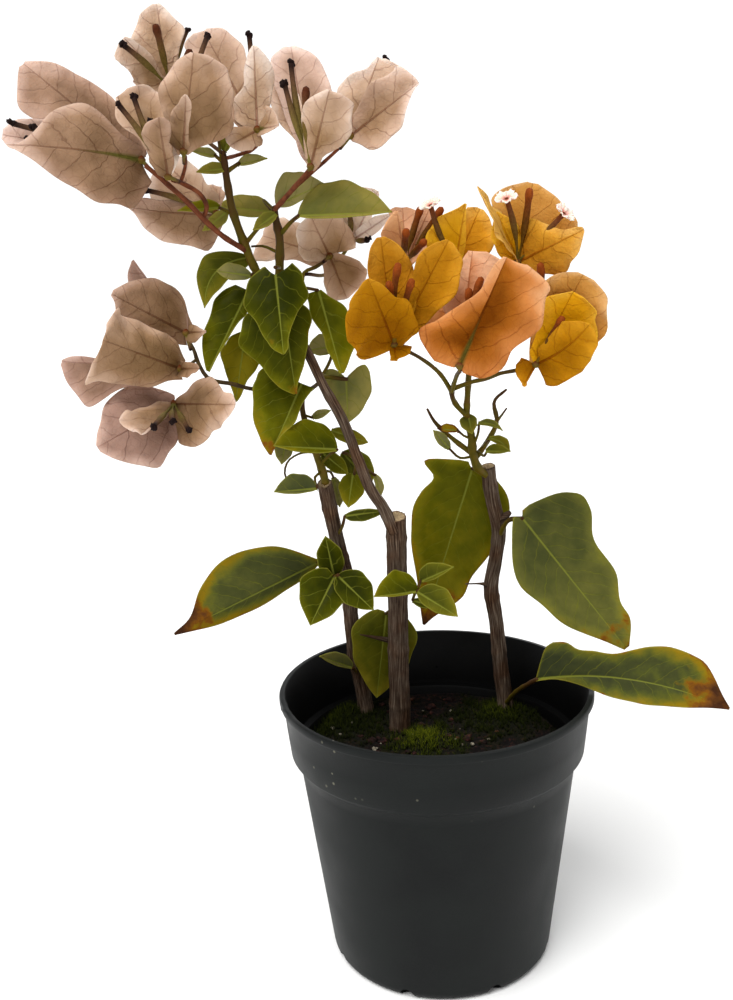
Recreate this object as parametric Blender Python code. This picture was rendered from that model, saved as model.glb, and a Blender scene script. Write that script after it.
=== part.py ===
"""Potted bougainvillea: three cut-back canes in a black nursery pot, with leafy side shoots,
sprays of white and orange bracts, and the soil they stand in.

Places and sizes of the plant are in millimetres from the centre of the pot's base, +Z up, with the
side the plant is shown from at -Y.  Objects are built in metres.
"""
import math

import bmesh
import bpy
from mathutils import Matrix, Vector, noise
from mathutils.bvhtree import BVHTree

MM = 0.001

# Pot, a 13 cm nursery pot.
POT_HEIGHT = 116.4
RIM_RADIUS = 65.0
LIP_DEPTH = 3.2
BAND_BOTTOM = 91.5
BAND_RADIUS = 61.2
NECK_RADIUS = 57.9
BASE_RADIUS = 47.2
BASE_ROUND = 3.8
WALL = 1.4
POT_STEPS = 32
DRAIN_HOLES = 8
DRAIN_DIAMETER = 6.0

# Soil, moss included.
SOIL_LEVEL = 85.5
SOIL_GAP = 0.35
CANE_GAP = 0.3

# Blades and stems.  Nine half widths are given at the shares of a blade's length in STATIONS.
BLADE_THICKNESS = 0.8
STATIONS = (0.0, 0.1, 0.22, 0.36, 0.52, 0.68, 0.82, 0.93, 1.0)
BROAD_ROWS = (0.0, 0.16, 0.36, 0.6, 0.84, 1.0)
SLIM_ROWS = (0.0, 0.36, 0.75, 1.0)
SEAT_GAP = 0.3
PEDICEL_DIAMETER = 1.4
TUBE_SIDES = 5
THIN_SIDES = 4
HAIR_SIDES = 3
CANE_SIDES = 8
STEM_SIDES = 6
FRONT = Vector((0.0, -0.97, 0.24))

COLOURS = {
    "pot_plastic": ((0.020, 0.023, 0.022), 0.45),
    "soil": ((0.020, 0.018, 0.010), 0.95),
    "bark": ((0.115, 0.078, 0.058), 0.85),
    "leaf": ((0.085, 0.115, 0.008), 0.5),
    "stalk_red": ((0.120, 0.028, 0.012), 0.6),
    "stalk_dark": ((0.050, 0.025, 0.012), 0.6),
    "bract_white": ((0.560, 0.400, 0.290), 0.6),
    "bract_orange": ((0.640, 0.290, 0.012), 0.55),
    "bract_peach": ((0.640, 0.330, 0.130), 0.6),
}


def clear_scene():
    """Removes every object, so that the build starts empty."""
    for item in list(bpy.data.objects):
        bpy.data.objects.remove(item, do_unlink=True)


def principled(name):
    """One material for each kind of surface, made when first needed."""
    made = bpy.data.materials.get(name)
    if made:
        return made
    colour, roughness = COLOURS[name]
    made = bpy.data.materials.new(name)
    made.use_nodes = True
    shader = made.node_tree.nodes["Principled BSDF"]
    shader.inputs["Base Color"].default_value = (*colour, 1.0)
    shader.inputs["Roughness"].default_value = roughness
    shader.inputs["Metallic"].default_value = 0.0
    return made


def new_object(name, bm, material=None, smooth=True):
    """Turns a bmesh in millimetres into an object in metres."""
    bmesh.ops.recalc_face_normals(bm, faces=bm.faces)
    bmesh.ops.scale(bm, vec=(MM, MM, MM), verts=bm.verts)
    mesh = bpy.data.meshes.new(name)
    bm.to_mesh(mesh)
    bm.free()
    if smooth:
        mesh.shade_smooth()
    item = bpy.data.objects.new(name, mesh)
    bpy.context.scene.collection.objects.link(item)
    if material:
        item.data.materials.append(principled(material))
    return item


def largest_body(item):
    """Keeps the one outer skin of a fused object, without scraps or sealed hollows."""
    bm = bmesh.new()
    bm.from_mesh(item.data)
    bmesh.ops.triangulate(bm, faces=bm.faces)
    bmesh.ops.remove_doubles(bm, verts=bm.verts, dist=0.000002)
    bmesh.ops.dissolve_limit(bm, angle_limit=math.radians(0.4), verts=bm.verts, edges=bm.edges)
    bmesh.ops.triangulate(bm, faces=bm.faces)
    bm.faces.ensure_lookup_table()
    waiting = set(bm.faces)
    bodies = []
    while waiting:
        queue = [waiting.pop()]
        body = list(queue)
        while queue:
            face = queue.pop()
            for edge in face.edges:
                for other in edge.link_faces:
                    if other in waiting:
                        waiting.discard(other)
                        queue.append(other)
                        body.append(other)
        bodies.append(body)
    bodies.sort(key=lambda body: sum(face.calc_area() for face in body))
    spare = [face for body in bodies[:-1] for face in body]
    bmesh.ops.delete(bm, geom=spare, context="FACES")
    loose = [vert for vert in bm.verts if not vert.link_faces]
    bmesh.ops.delete(bm, geom=loose, context="VERTS")
    bm.to_mesh(item.data)
    bm.free()


def is_closed(mesh):
    """True where every edge has a face on each side of it."""
    bm = bmesh.new()
    bm.from_mesh(mesh)
    closed = all(len(edge.link_faces) == 2 for edge in bm.edges)
    bm.free()
    return closed


def boolean(item, others, operation):
    """Applies one Boolean between an object and a collection of others, which are then removed."""
    group = bpy.data.collections.new(item.name + "_operands")
    for other in others:
        group.objects.link(other)
    modifier = item.modifiers.new(operation.lower(), "BOOLEAN")
    modifier.operation = operation
    modifier.operand_type = "COLLECTION"
    modifier.collection = group
    for solver in ("EXACT", "MANIFOLD"):
        modifier.solver = solver
        bpy.context.view_layer.update()
        graph = bpy.context.evaluated_depsgraph_get()
        result = bpy.data.meshes.new_from_object(item.evaluated_get(graph))
        if is_closed(result):
            break
    item.modifiers.clear()
    item.data = result
    for other in others:
        bpy.data.objects.remove(other, do_unlink=True)
    bpy.data.collections.remove(group)


def fuse(name, pieces, material):
    """Joins overlapping solids into one closed body with one material."""
    body = pieces[0]
    body.name = name
    if len(pieces) > 1:
        boolean(body, pieces[1:], "UNION")
    largest_body(body)
    body.data.name = name
    body.data.materials.clear()
    body.data.materials.append(principled(material))
    for face in body.data.polygons:
        face.material_index = 0
    return body


def lathe(name, profile, steps, material=None):
    """Spins a profile of (radius, height) about the pot's axis."""
    bm = bmesh.new()
    verts = [bm.verts.new((radius, 0.0, height)) for radius, height in profile]
    edges = [bm.edges.new(pair) for pair in zip(verts, verts[1:])]
    bmesh.ops.spin(bm, geom=verts + edges, cent=(0, 0, 0), axis=(0, 0, 1),
                   angle=2 * math.pi, steps=steps, use_merge=True)
    bmesh.ops.remove_doubles(bm, verts=bm.verts, dist=0.001)
    return new_object(name, bm, material)


def tube(name, path, sides=STEM_SIDES, ripple=0.0):
    """A closed round stem along (x, y, z, diameter) points, with an optional uneven bark."""
    points = [Vector(point[:3]) for point in path]
    heading = [(points[min(i + 1, len(points) - 1)] - points[max(i - 1, 0)]).normalized()
               for i in range(len(points))]
    side = heading[0].orthogonal().normalized()
    bm = bmesh.new()
    rings = []
    for i, (centre, forward) in enumerate(zip(points, heading)):
        side = (side - forward * side.dot(forward)).normalized()
        across = forward.cross(side)
        ring = []
        for k in range(sides):
            angle = 2 * math.pi * k / sides
            reach = path[i][3] / 2 * (1 + ripple * math.sin(3 * angle + 1.7 * i))
            ring.append(bm.verts.new(centre + side * (reach * math.cos(angle))
                                     + across * (reach * math.sin(angle))))
        rings.append(ring)
    for low, high in zip(rings, rings[1:]):
        for k in range(sides):
            bm.faces.new((low[k], low[(k + 1) % sides], high[(k + 1) % sides], high[k]))
    bm.faces.new(rings[0][::-1])
    bm.faces.new(rings[-1])
    bmesh.ops.triangulate(bm, faces=bm.faces)
    return new_object(name, bm)


def seated(path, support):
    """Ends a stem SEAT_GAP short of the object that carries it, along its own last run."""
    mesh = bpy.data.objects[support].data
    tree = BVHTree.FromPolygons([vert.co / MM for vert in mesh.vertices],
                                [tuple(face.vertices) for face in mesh.polygons])
    start, target = Vector(path[-2][:3]), Vector(path[-1][:3])
    radius = path[-1][3] / 2
    forward = (target - start).normalized()
    side = forward.orthogonal().normalized() * radius
    across = forward.cross(side)
    rim = [side * math.cos(k * math.pi / 4) + across * math.sin(k * math.pi / 4) for k in range(8)]
    centre = start
    while min(tree.find_nearest(centre + offset)[3] for offset in rim) > SEAT_GAP:
        centre = centre + forward * 0.05
        if (centre - start).length > (target - start).length:
            break
    return path[:-1] + [(*centre, path[-1][3])]


def blade(tip, left, right, **form):
    """A bract from its bloom's heart to its tip, with half widths and form."""
    return {"tip": tip, "left": left, "right": right, "form": {"point": 2.0, **form}}


def leaf(base, tip, left, right, **form):
    """A leaf from base to tip, with half widths and form."""
    return {"base": base, "tip": tip, "left": left, "right": right, "form": {"point": 1.8, **form}}


def arc(run, width, fold, cup):
    """Sideways and outward distance after a run along a margin that folds, then curls evenly."""
    start = math.radians(fold)
    if abs(cup) < 0.5:
        return run * math.cos(start), run * math.sin(start)
    bend = math.radians(cup) / width
    end = start + bend * run
    return (math.sin(end) - math.sin(start)) / bend, (math.cos(start) - math.cos(end)) / bend


def half_width(width, along, peak, point):
    """A round base up to the widest place and a pointed end, or a margin given point by point."""
    if isinstance(width, tuple):
        width = list(zip(STATIONS, width))
    if isinstance(width, list):
        for (low, first), (high, last) in zip(width, width[1:]):
            if along <= high:
                return first + (last - first) * (along - low) / (high - low)
        return width[-1][1]
    if along <= peak:
        return width * math.sqrt(max(0.0, 1 - ((peak - along) / peak) ** 2))
    return width * max(0.0, 1 - ((along - peak) / (1 - peak)) ** point)


def blade_frame(base, tip, turn):
    """Length axis, face direction and left-hand direction of a blade."""
    axis = tip - base
    forward = axis.normalized()
    face = (FRONT - forward * FRONT.dot(forward)).normalized()
    face = Matrix.Rotation(math.radians(turn), 3, forward) @ face
    return axis, forward, face, face.cross(forward)


def blade_solid(name, base, tip, left, right, form, rows=(2, 3), half=2):
    """One bract or leaf as a thin closed solid, triangulated alike on both faces."""
    base = Vector(base)
    tip = Vector(tip)
    axis, forward, face, leftward = blade_frame(base, tip, form.get("turn", 0.0))
    peak = form.get("peak", 0.42)
    cup = form.get("cup", 0.0)
    folds = {-1: form.get("fold_left", 0.0), 1: form.get("fold_right", 0.0)}
    if isinstance(left, tuple):
        stations = BROAD_ROWS if half > 1 else SLIM_ROWS
    else:
        lower, upper = rows
        stations = [peak * (1 - math.cos(math.pi / 2 * i / lower)) for i in range(lower + 1)]
        stations += [peak + (1 - peak) * (i / upper) ** 0.85 for i in range(1, upper + 1)]
    grid = []
    for i, along in enumerate(stations):
        arch = 4 * along * (1 - along)
        middle = (base + axis * along + face * (form.get("bow", 0.0) * arch)
                  + leftward * (form.get("sweep", 0.0) * arch))
        row = []
        for j in range(-half, half + 1):
            out = abs(j) / half
            hand = -1 if j < 0 else 1
            width = half_width(left if j < 0 else right, along, peak, form["point"])
            least = 1.2 if i == 0 else 0.4
            width = max(width, least)
            sideways, outward = arc(out * width, width, folds[hand], cup)
            back = min(form.get("lobe", 0.0), width) * out ** 1.5 * (1 - along) ** 2
            row.append(middle - leftward * (hand * sideways) + face * outward - forward * back)
        grid.append(row)
    return blade_from_grid(name, grid, face)


def blade_from_grid(name, grid, face):
    """Thickens a grid of points into a solid with a plain rim."""
    rows, columns = len(grid), len(grid[0])
    bm = bmesh.new()
    upper, lower = [], []
    for i in range(rows):
        upper.append([])
        lower.append([])
        for j in range(columns):
            lengthwise = grid[min(i + 1, rows - 1)][j] - grid[max(i - 1, 0)][j]
            crosswise = grid[i][min(j + 1, columns - 1)] - grid[i][max(j - 1, 0)]
            normal = crosswise.cross(lengthwise).normalized()
            if normal.dot(face) < 0:
                normal = -normal
            upper[i].append(bm.verts.new(grid[i][j] + normal * (BLADE_THICKNESS / 2)))
            lower[i].append(bm.verts.new(grid[i][j] - normal * (BLADE_THICKNESS / 2)))
    for i in range(rows - 1):
        for j in range(columns - 1):
            for side, order in ((upper, 1), (lower, -1)):
                a, b, c, d = side[i][j], side[i][j + 1], side[i + 1][j + 1], side[i + 1][j]
                split = ((a, b, c), (a, c, d)) if j < columns // 2 else ((a, b, d), (b, c, d))
                for triangle in split:
                    bm.faces.new(triangle[::order])
    edge = [(0, j) for j in range(columns)] + [(i, columns - 1) for i in range(1, rows)]
    edge += [(rows - 1, j) for j in range(columns - 2, -1, -1)] + [(i, 0) for i in range(rows - 2, 0, -1)]
    for (i, j), (m, n) in zip(edge, edge[1:] + edge[:1]):
        a, b, c, d = upper[i][j], upper[m][n], lower[m][n], lower[i][j]
        bm.faces.new((a, d, c))
        bm.faces.new((a, c, b))
    return new_object(name, bm)


DRAIN_TURN = math.radians(1)
STAR_RADIUS = 4.0
BROAD_BRACT = 14.0
MOSS_MOUNDS = ((-4.5, 5.5, 9, 4), (-39, 34.5, 12, 2.5), (30.5, 30, 12, 2.5), (-59, 26, 10, 1.5))

# Canes: first line up the cane from its buried end, then branches, thorns and buds; (x, y, z, diameter).
CANES = {
    "cane_left": [
        [(-27, 36, 48, 6.8), (-29.5, 38, 90, 6.8), (-33.5, 34, 120, 6.4), (-34.5, 28, 141.5, 6.2),
         (-35, 23, 156, 6), (-37.5, 17, 171, 6), (-39.5, 10, 185.5, 6), (-42, 2, 204, 5.8)],
    ],
    "cane_middle": [
        [(-14, 21, 48, 9.4), (-14.5, 22, 87, 9.4), (-14.5, 19, 106.5, 9), (-14.5, 16, 126, 8.6),
         (-14, 12, 150, 8.4), (-14, 7, 171.5, 8.2), (-14, 2, 189, 8.2)],
        [(-15, 1, 183, 5), (-19.5, -3, 195, 4.6), (-23, -5, 201, 4.4), (-28, -7, 214.5, 4.2),
         (-33.5, -8, 231, 4), (-40.5, -8, 245, 3.6), (-45, -6, 255.5, 3.6), (-52, -3, 268, 3.4)],
        [(-18.5, 17, 130.5, 2.6), (-23.5, 15, 132.5, 1.6), (-30.5, 13, 135, 0.5)],
    ],
    "cane_right": [
        [(25, 32, 48, 7.2), (33.5, 35, 89.5, 7.2), (31.5, 33, 108, 6.6), (29.5, 31, 130.5, 6.2),
         (27, 28, 149.5, 6), (29, 25, 164, 5.8), (30, 23, 175, 5.8), (27, 20, 190.5, 5.8),
         (25, 17, 205, 5.6)],
        [(27, 28, 149.5, 4.4), (23.5, 26, 151, 1.6), (15.5, 24, 152, 0.5)],
        [(29.5, 23, 177.5, 4), (32, 20, 182, 3.6), (34, 18, 184.5, 2)],
    ],
}

# Green shoots and leaves: what carries them, stems, then leaves as base, tip and half widths.
LEAFY = {
    "shoot_top": ("cane_middle", [
        [(-51.5, -3, 267.5, 3.4), (-55, -3, 277, 3.4), (-54.5, -4, 291, 3.2), (-54, -5, 300, 3),
         (-55, -6, 307.5, 2.6), (-55, -7, 311, 2.2)],
        [(-54, -3, 274.5, 3.2), (-61.5, -4, 284.5, 3), (-65, -4, 291.5, 3), (-66.5, -4, 296, 3.2),
         (-68.5, -6, 302.5, 3), (-70.5, -8, 310.5, 2.8), (-71.5, -9, 319.5, 2.6),
         (-72, -10, 326.5, 2.4), (-72, -11, 331, 1.6)],
        [(-73, -10, 328, 1.4), (-73.5, -12, 335.5, 0.8)],
        [(-73, -10, 327.5, 1.4), (-75.5, -8, 330, 1.2)],
        [(-71.5, -9, 324, 1.8), (-67, -6, 327, 1.4)],
        [(-71, -8, 309.5, 1.4), (-75.5, -6, 311.5, 1.2)],
        [(-53.5, -5, 301, 1.8), (-49, -9, 305.5, 1.6), (-46, -12, 307.5, 1.4)],
        [(-54.5, -6, 309, 1.2), (-59.5, 2, 313.5, 1.2), (-57.5, 6, 310.5, 1.2)],
        [(-66, -5, 299, 1.8), (-62, -8, 303, 1.4), (-58.5, -9, 306, 1)],
        [(-55, -4, 294.5, 1.2), (-60.5, -2, 297, 1), (-65, 0, 297, 0.8)],
        [(-54.5, -5, 289, 1.4), (-55.5, -15, 289.5, 1.4)],
        [(-54.5, -4, 276, 1.4), (-54, -10, 276.5, 1.4)],
        [(-53.5, -4, 277, 1.4), (-46.5, -4, 281, 1.2), (-40.5, -4, 280, 1.2)],
        [(-63.5, -4, 288.5, 1.4), (-65, -8, 286.5, 1.2)],
        [(-61.5, -4, 284.5, 1.4), (-64.5, -4, 283.5, 1.4), (-67, -4, 281, 1.2)],
        [(-59.5, -4, 280, 1.2), (-65, 0, 272.5, 1.2), (-69.5, 2, 265.5, 1.2)],
        [(-46.5, -4, 281, 1.2), (-46, -2, 286, 1.4), (-41, 4, 288.5, 1.4), (-37.5, 8, 290.5, 1.2)],
    ], [
        leaf((-55.5, -16, 287), (-53.5, -26, 259), (6.5, 10, 10.5, 11, 7, 4, 2.5, 2, 0.5),
         (3.5, 9, 12, 13, 10, 8, 5.5, 3.5, 0.5), cup=-20, lobe=4),
        leaf((-54, -10, 276.5), (-50.5, -14, 242.5), (5, 9, 10.5, 8, 7, 5, 2.5, 1, 0.5),
         (10, 15, 17.5, 18.5, 15.5, 11, 8, 5, 1), cup=-15),
        leaf((-65.5, -2, 293), (-83, -10, 275.5), 5.5, 7.5, cup=-20, sweep=-6, peak=0.42, point=2),
        leaf((-65, -8, 286.5), (-77, -14, 289), 2.5, 4, cup=-20, peak=0.6, point=2),
        leaf((-67, -4, 281), (-83, -12, 252), (1.5, 3, 3.5, 2, 1.5, 1, 0.5, 0.5, 0.5),
         (5.5, 9, 10, 9.5, 9, 8, 6, 3, 1), cup=-20),
        leaf((-69.5, 2, 265.5), (-74.5, -4, 239), (0.5, 3.5, 6.5, 7.5, 6, 3.5, 2.5, 1.5, 0.5),
         (0.5, 5.5, 7, 8.5, 7, 4.5, 2.5, 1, 0.5), cup=-15),
        leaf((-40.5, -4, 280), (-33, -10, 249), (1, 3.5, 7.5, 8.5, 8.5, 8.5, 5.5, 3, 1),
         (5, 5, 5.5, 4.5, 3, 3, 2, 1.5, 0.5), cup=-15),
        leaf((-54.5, -6, 311.5), (-36.5, -10, 318.5), 10, 2.5, cup=-20, peak=0.35, point=2),
        leaf((-46.5, -12, 307.5), (-12.5, -24, 307.5), 13, 1.5, cup=-20, peak=0.38, point=2),
        leaf((-54.5, -8, 308.5), (-63, -12, 303), 2, 3, peak=0.4, point=2),
        leaf((-57, 6, 309.5), (-79, 14, 312.5), 3, 6, cup=-20, peak=0.5, point=2),
        leaf((-75, -6, 311.5), (-90.5, -9, 311), 1, 3.5, peak=0.35),
        leaf((-72.5, -7, 310), (-82, -8, 303.5), 3, 2.5, peak=0.4),
        leaf((-72, -8, 331), (-68, -12, 338.5), 3.5, 1.5, peak=0.4, point=2),
        leaf((-75, -8, 329.5), (-83.5, -14, 331.5), 1, 2.5, peak=0.35),
        leaf((-71.5, -10, 325), (-81.5, -16, 324), 1.5, 3, peak=0.35, point=2),
        leaf((-67.5, -6, 326.5), (-56.5, -10, 328), 3, 1, peak=0.35),
    ]),
    "shoot_left_top": ("cane_left", [
        [(-41.5, 2.5, 202.5, 3.2), (-42, 1, 207, 3.2), (-44, 0, 214, 2.8), (-46.5, 0, 223, 2.4),
         (-49, 0, 233, 2.2), (-49, -2, 242, 1.8)],
        [(-43.5, 0, 211.5, 1.4), (-39, -3, 216.5, 1.2), (-36, -6, 219, 1.2)],
        [(-46.5, 0, 223, 1), (-56, -2, 223, 1)],
        [(-48.5, 0, 232, 1), (-45.5, 2, 230.5, 1)],
        [(-43, 0, 209, 1.2), (-45.5, -5, 207.5, 1), (-44.5, -7, 204, 1)],
        [(-44.5, 0, 214.5, 1), (-42.5, 4, 216, 1)],
        [(-43, 0, 209, 1.2), (-39.5, 6, 207.5, 1), (-38.5, 9, 204.5, 1)],
        [(-44.5, 0, 217, 1), (-51, -4, 217.5, 0.8), (-55.5, -6, 215, 0.8), (-57, -6, 210.5, 0.8),
         (-56, -6, 206.5, 0.8)],
    ], [
        leaf((-48.5, -4, 245), (-61.5, -14, 219.5), (5, 4, 3.5, 3.5, 3.5, 1.5, 0.5, 0.5, 0.5),
         (15, 17.5, 17, 15.5, 14, 11, 7.5, 4, 0.5), cup=8),
        leaf((-56, -2, 223), (-58, -6, 214), 3.5, 4, peak=0.35, point=2),
        leaf((-36, -6, 219), (-60, -14, 223), 2, 11, cup=-15, peak=0.45, point=2),
        leaf((-45.5, 2, 230.5), (-38, 0, 233.5), 2, 1.5, peak=0.4),
        leaf((-44.5, -7, 204), (-61, -12, 204.5), 1.5, 6.5, peak=0.5, point=2),
        leaf((-42.5, 4, 216), (-32.5, 6, 206.5), 3.5, 3.5, peak=0.45, point=2.6),
        leaf((-38.5, 9, 204.5), (-36.5, 11, 191.5), 3, 2.5, peak=0.5, point=2),
    ]),
    "shoot_right_top": ("cane_right", [
        [(26, 18.5, 200, 3.2), (20, 12, 206, 3.4), (18.5, 10.5, 210.5, 3.4), (17.5, 8, 219.5, 3.2),
         (15.5, 4, 229, 2.6), (15.5, 0, 237.5, 2.4), (15.5, -6, 246, 2.4), (16, -14, 260, 2.2),
         (16.5, -18, 275, 2), (18, -20, 286, 2)],
        [(15.5, 4, 228.5, 2.2), (11.5, 0, 233, 2), (9, -6, 238, 2), (8.5, -10, 241.5, 2)],
        [(8.5, -10, 240.5, 1.8), (4, -16, 248, 1.6), (-4, -24, 255.5, 1.4), (-12, -30, 260.5, 1.2)],
        [(8.5, -10, 240.5, 1.8), (9.5, -22, 248, 1.6), (10, -36, 252.5, 1.4)],
        [(9, -10, 241.5, 1.8), (15.5, -12, 244, 1.6), (21, -18, 246, 1.5), (25, -24, 248.5, 1.4),
         (31.5, -30, 250.5, 1.4), (35, -33.5, 252, 1.2)],
        [(19.5, 12, 210.5, 2.6), (10.5, 10, 218, 1.8), (2.5, 8, 226.5, 1.4), (0, 6, 231.5, 0.8)],
        [(19, 14, 208.5, 2.4), (23.5, 12, 215, 2.2), (28, 10, 224.5, 1.8), (27, 8, 233.5, 1.4),
         (31.5, 6, 238, 0.8)],
        [(28, 10, 224.5, 1.2), (31.5, 6, 230.5, 0.6)],
        [(17.5, 8, 218.5, 1.2), (14.5, 6, 220, 1), (11.5, 4, 223, 1)],
        [(18.5, 9, 215.5, 1.2), (20, 5, 221.5, 1), (20, 2, 225, 1)],
        [(20.5, 10, 212.5, 1.2), (22, 4, 212, 1), (22.5, -1, 214.5, 1)],
        [(22.5, 11, 214.5, 1.2), (24, 1, 219.5, 1)],
        [(19, 12, 210.5, 1.2), (13, 9, 210.5, 1), (8.5, 6, 215, 1)],
    ], [
        leaf((16, 4, 229), (17, 0, 222), 3, 4, peak=0.35, point=2),
        leaf((19.5, 2, 225.5), (28.5, -4, 223.5), 2, 1, sweep=1.2, peak=0.4, point=2),
        leaf((12, 4, 222.5), (3.5, 0, 224.5), 1, 2.5, peak=0.5, point=2),
        leaf((23.5, 0, 220), (31, -6, 215.5), 2.5, 1.5, sweep=1.2, peak=0.6, point=2),
        leaf((22, -2, 215), (31, -8, 216), 3, 1, peak=0.4, point=2),
        leaf((8.5, 6, 215), (2, 2, 223.5), 2, 2.5, peak=0.5, point=2),
    ]),
    "leaf_lower_left": ("cane_left", [
        [(-37.5, 17, 171, 1.8), (-41.5, 14, 169, 1.8), (-47, 16, 166.5, 1.8)],
    ], [
        leaf((-46, 16, 167), (-104.5, -10, 147), [(0, 1), (0.1, 4.5), (0.3, 7), (0.5, 8.5), (0.7, 7),
         (0.9, 3), (1, 0.5)], [(0, 1), (0.1, 7.5), (0.22, 14), (0.36, 18), (0.5, 18), (0.64, 16.5),
         (0.76, 11.5), (0.86, 4), (1, 0.5)], cup=8, fold_left=-50, peak=0.42),
    ]),
    "leaf_behind_right": ("cane_right", [
        [(25.5, 18, 201.5, 1.6), (22, 27, 202, 1.6), (20, 31, 201, 1.6)],
    ], [
        leaf((20, 31, 201), (-2.5, 31, 131.5), [(0, 1.5), (0.08, 13), (0.2, 20.5), (0.36, 21.5),
         (0.5, 17.5), (0.64, 14.5), (0.76, 13), (0.86, 7.5), (0.95, 2.5), (1, 0.5)], [(0, 2.5),
         (0.06, 20), (0.14, 14.5), (0.24, 17.5), (0.34, 20), (0.5, 16.5), (0.7, 10.5), (0.86, 5),
         (1, 0.5)], cup=-10, peak=0.3, lobe=3),
    ]),
    "leaf_right": ("cane_right", [
        [(29.5, 24, 171, 2), (34, 13, 183, 1.8), (38, 8, 184.5, 1.8)],
    ], [
        leaf((37.5, 8, 185), (77.5, -8, 132.5), [(0, 2), (0.05, 16.5), (0.12, 24.5), (0.24, 24),
         (0.36, 19), (0.5, 17.5), (0.64, 15.5), (0.76, 10.5), (0.88, 9), (1, 1.5)], [(0, 2),
         (0.08, 7.5), (0.2, 14), (0.34, 17.5), (0.5, 16.5), (0.64, 14), (0.8, 9), (0.92, 4), (1, 1)],
         cup=-15, peak=0.3, lobe=3),
    ]),
    "leaf_low_right": ("cane_right", [
        [(33.5, 35, 90.5, 2), (36.5, 12, 107.5, 1.8), (42, -4, 119, 1.8)],
    ], [
        leaf((41.5, -4, 119), (111.5, -34, 116.5), [(0, 1), (0.03, 12), (0.06, 14.5), (0.1, 14.5),
         (0.15, 13.5), (0.2, 11), (0.3, 10.5), (0.4, 10), (0.5, 12), (0.6, 14.5), (0.7, 16.5),
         (0.8, 15.5), (0.87, 13), (0.92, 8.5), (0.96, 4), (1, 0.5)], [(0, 1), (0.1, 1), (0.2, 3),
         (0.3, 5.5), (0.4, 7.5), (0.5, 8.5), (0.6, 9), (0.7, 7.5), (0.8, 5.5), (0.9, 3), (1, 0.5)],
         cup=12, sweep=5.5, peak=0.4),
    ]),
    "leaves_cane_left": ("cane_left", [
        [(-34.5, 23, 157, 2), (-39, 9, 162.5, 1.8), (-40, 2, 164.5, 1.8)],
        [(-40, 3, 164, 1.4), (-38, -3, 167, 1.4)],
    ], [
        leaf((-40, 4, 164), (-42.5, -2, 183), 5.5, 5.5, peak=0.45, point=2),
        leaf((-40, 0, 165), (-50, -10, 148.5), 8, 11.5, peak=0.36, lobe=3),
        leaf((-38.5, -2, 166.5), (-24.5, -6, 152.5), 8, 6, peak=0.4, point=2),
    ]),
    "leaf_low_cane_left": ("cane_left", [
        [(-33, 35.5, 108.5, 1.6), (-34.5, 24, 115.5, 1.4)],
    ], [
        leaf((-34.5, 24, 115.5), (-48, 14, 125.5), 1.5, 4.5, peak=0.5, point=2),
    ]),
    "leaf_heart_middle": ("cane_middle", [
        [(-14, 12.5, 147.5, 1.6), (-19, 22.5, 140.5, 1.4)],
    ], [
        leaf((-19, 22.5, 140.5), (-24.5, 26, 100), 14.5, 14, cup=-15, peak=0.32, point=2, lobe=2),
    ]),
    "leaves_cane_middle": ("cane_middle", [
        [(-14, 11, 154, 1.8), (-8, 2, 157, 1.6), (-6, -5, 159.5, 1.6)],
        [(-7, -2, 158.5, 1.4), (-8.5, -2, 154.5, 1.2)],
        [(-6.5, -3, 159, 1.4), (-5, -2, 163, 1.2)],
    ], [
        leaf((-6, -4, 159), (-24, -10, 159.5), 1, 9.5, cup=-15, peak=0.45, point=2),
        leaf((-5, -2, 162.5), (8, -8, 170), 5.5, 1.5, peak=0.35, point=2),
        leaf((-6.5, -6, 159.5), (9, -12, 150.5), 7, 3.5, peak=0.42, point=2),
        leaf((-8.5, -2, 154.5), (0, -4, 152.5), 2, 2, peak=0.5, point=2),
    ]),
    "leaves_branch_upper": ("cane_middle", [
        [(-41.5, -7.5, 248, 2.2), (-37.5, -1, 246.5, 1.6), (-31, -1, 245.5, 1.4)],
        [(-41, -2.5, 247, 1.4), (-37.5, 4, 252.5, 1.2), (-36, 8, 257.5, 1.2)],
    ], [
        leaf((-36, 8, 257.5), (-46.5, 6, 256.5), 3, 5.5, peak=0.4, point=2),
        leaf((-31.5, -1, 246), (-31.5, -2, 228.5), 10.5, 9, cup=-35, peak=0.3, point=2, lobe=8),
    ]),
    "leaves_branch_lower": ("cane_middle", [
        [(-27.5, -7, 214.5, 1.8), (-29, 4, 211, 1.6), (-29, 9, 210, 1.4)],
        [(-29, 6, 211, 1.2), (-31.5, 9, 213.5, 1.2), (-34.5, 10, 214.5, 1.2)],
        [(-29, 6, 211, 1.2), (-30, 6, 206, 1.2)],
        [(-29, 6, 211, 1.2), (-21.5, 12, 204, 1.2)],
        [(-29, 6, 211, 1.2), (-31, 8, 221, 1.2)],
    ], [
        leaf((-38.5, 8, 224), (-24, 8, 218.5), 3, 3, peak=0.5, point=2.6),
        leaf((-34.5, 10, 214.5), (-23, 12, 200.5), 6.5, 5, peak=0.45, point=2.6),
        leaf((-30.5, 6, 206.5), (-33, 4, 193), 5.5, 5, peak=0.4, point=2),
        leaf((-22, 12, 204.5), (-19.5, 12, 195.5), 2.5, 1, peak=0.5, point=2.6),
    ]),
    "leaf_by_cane_left": ("cane_left", [
        [(-38.5, 13.5, 178, 1.4), (-35.5, 5, 185.5, 1.2), (-34.5, 2, 190, 1.2)],
    ], [
        leaf((-34.5, 2, 190), (-18, 4, 191), 2, 3, peak=0.4, point=2),
    ]),
}

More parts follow.
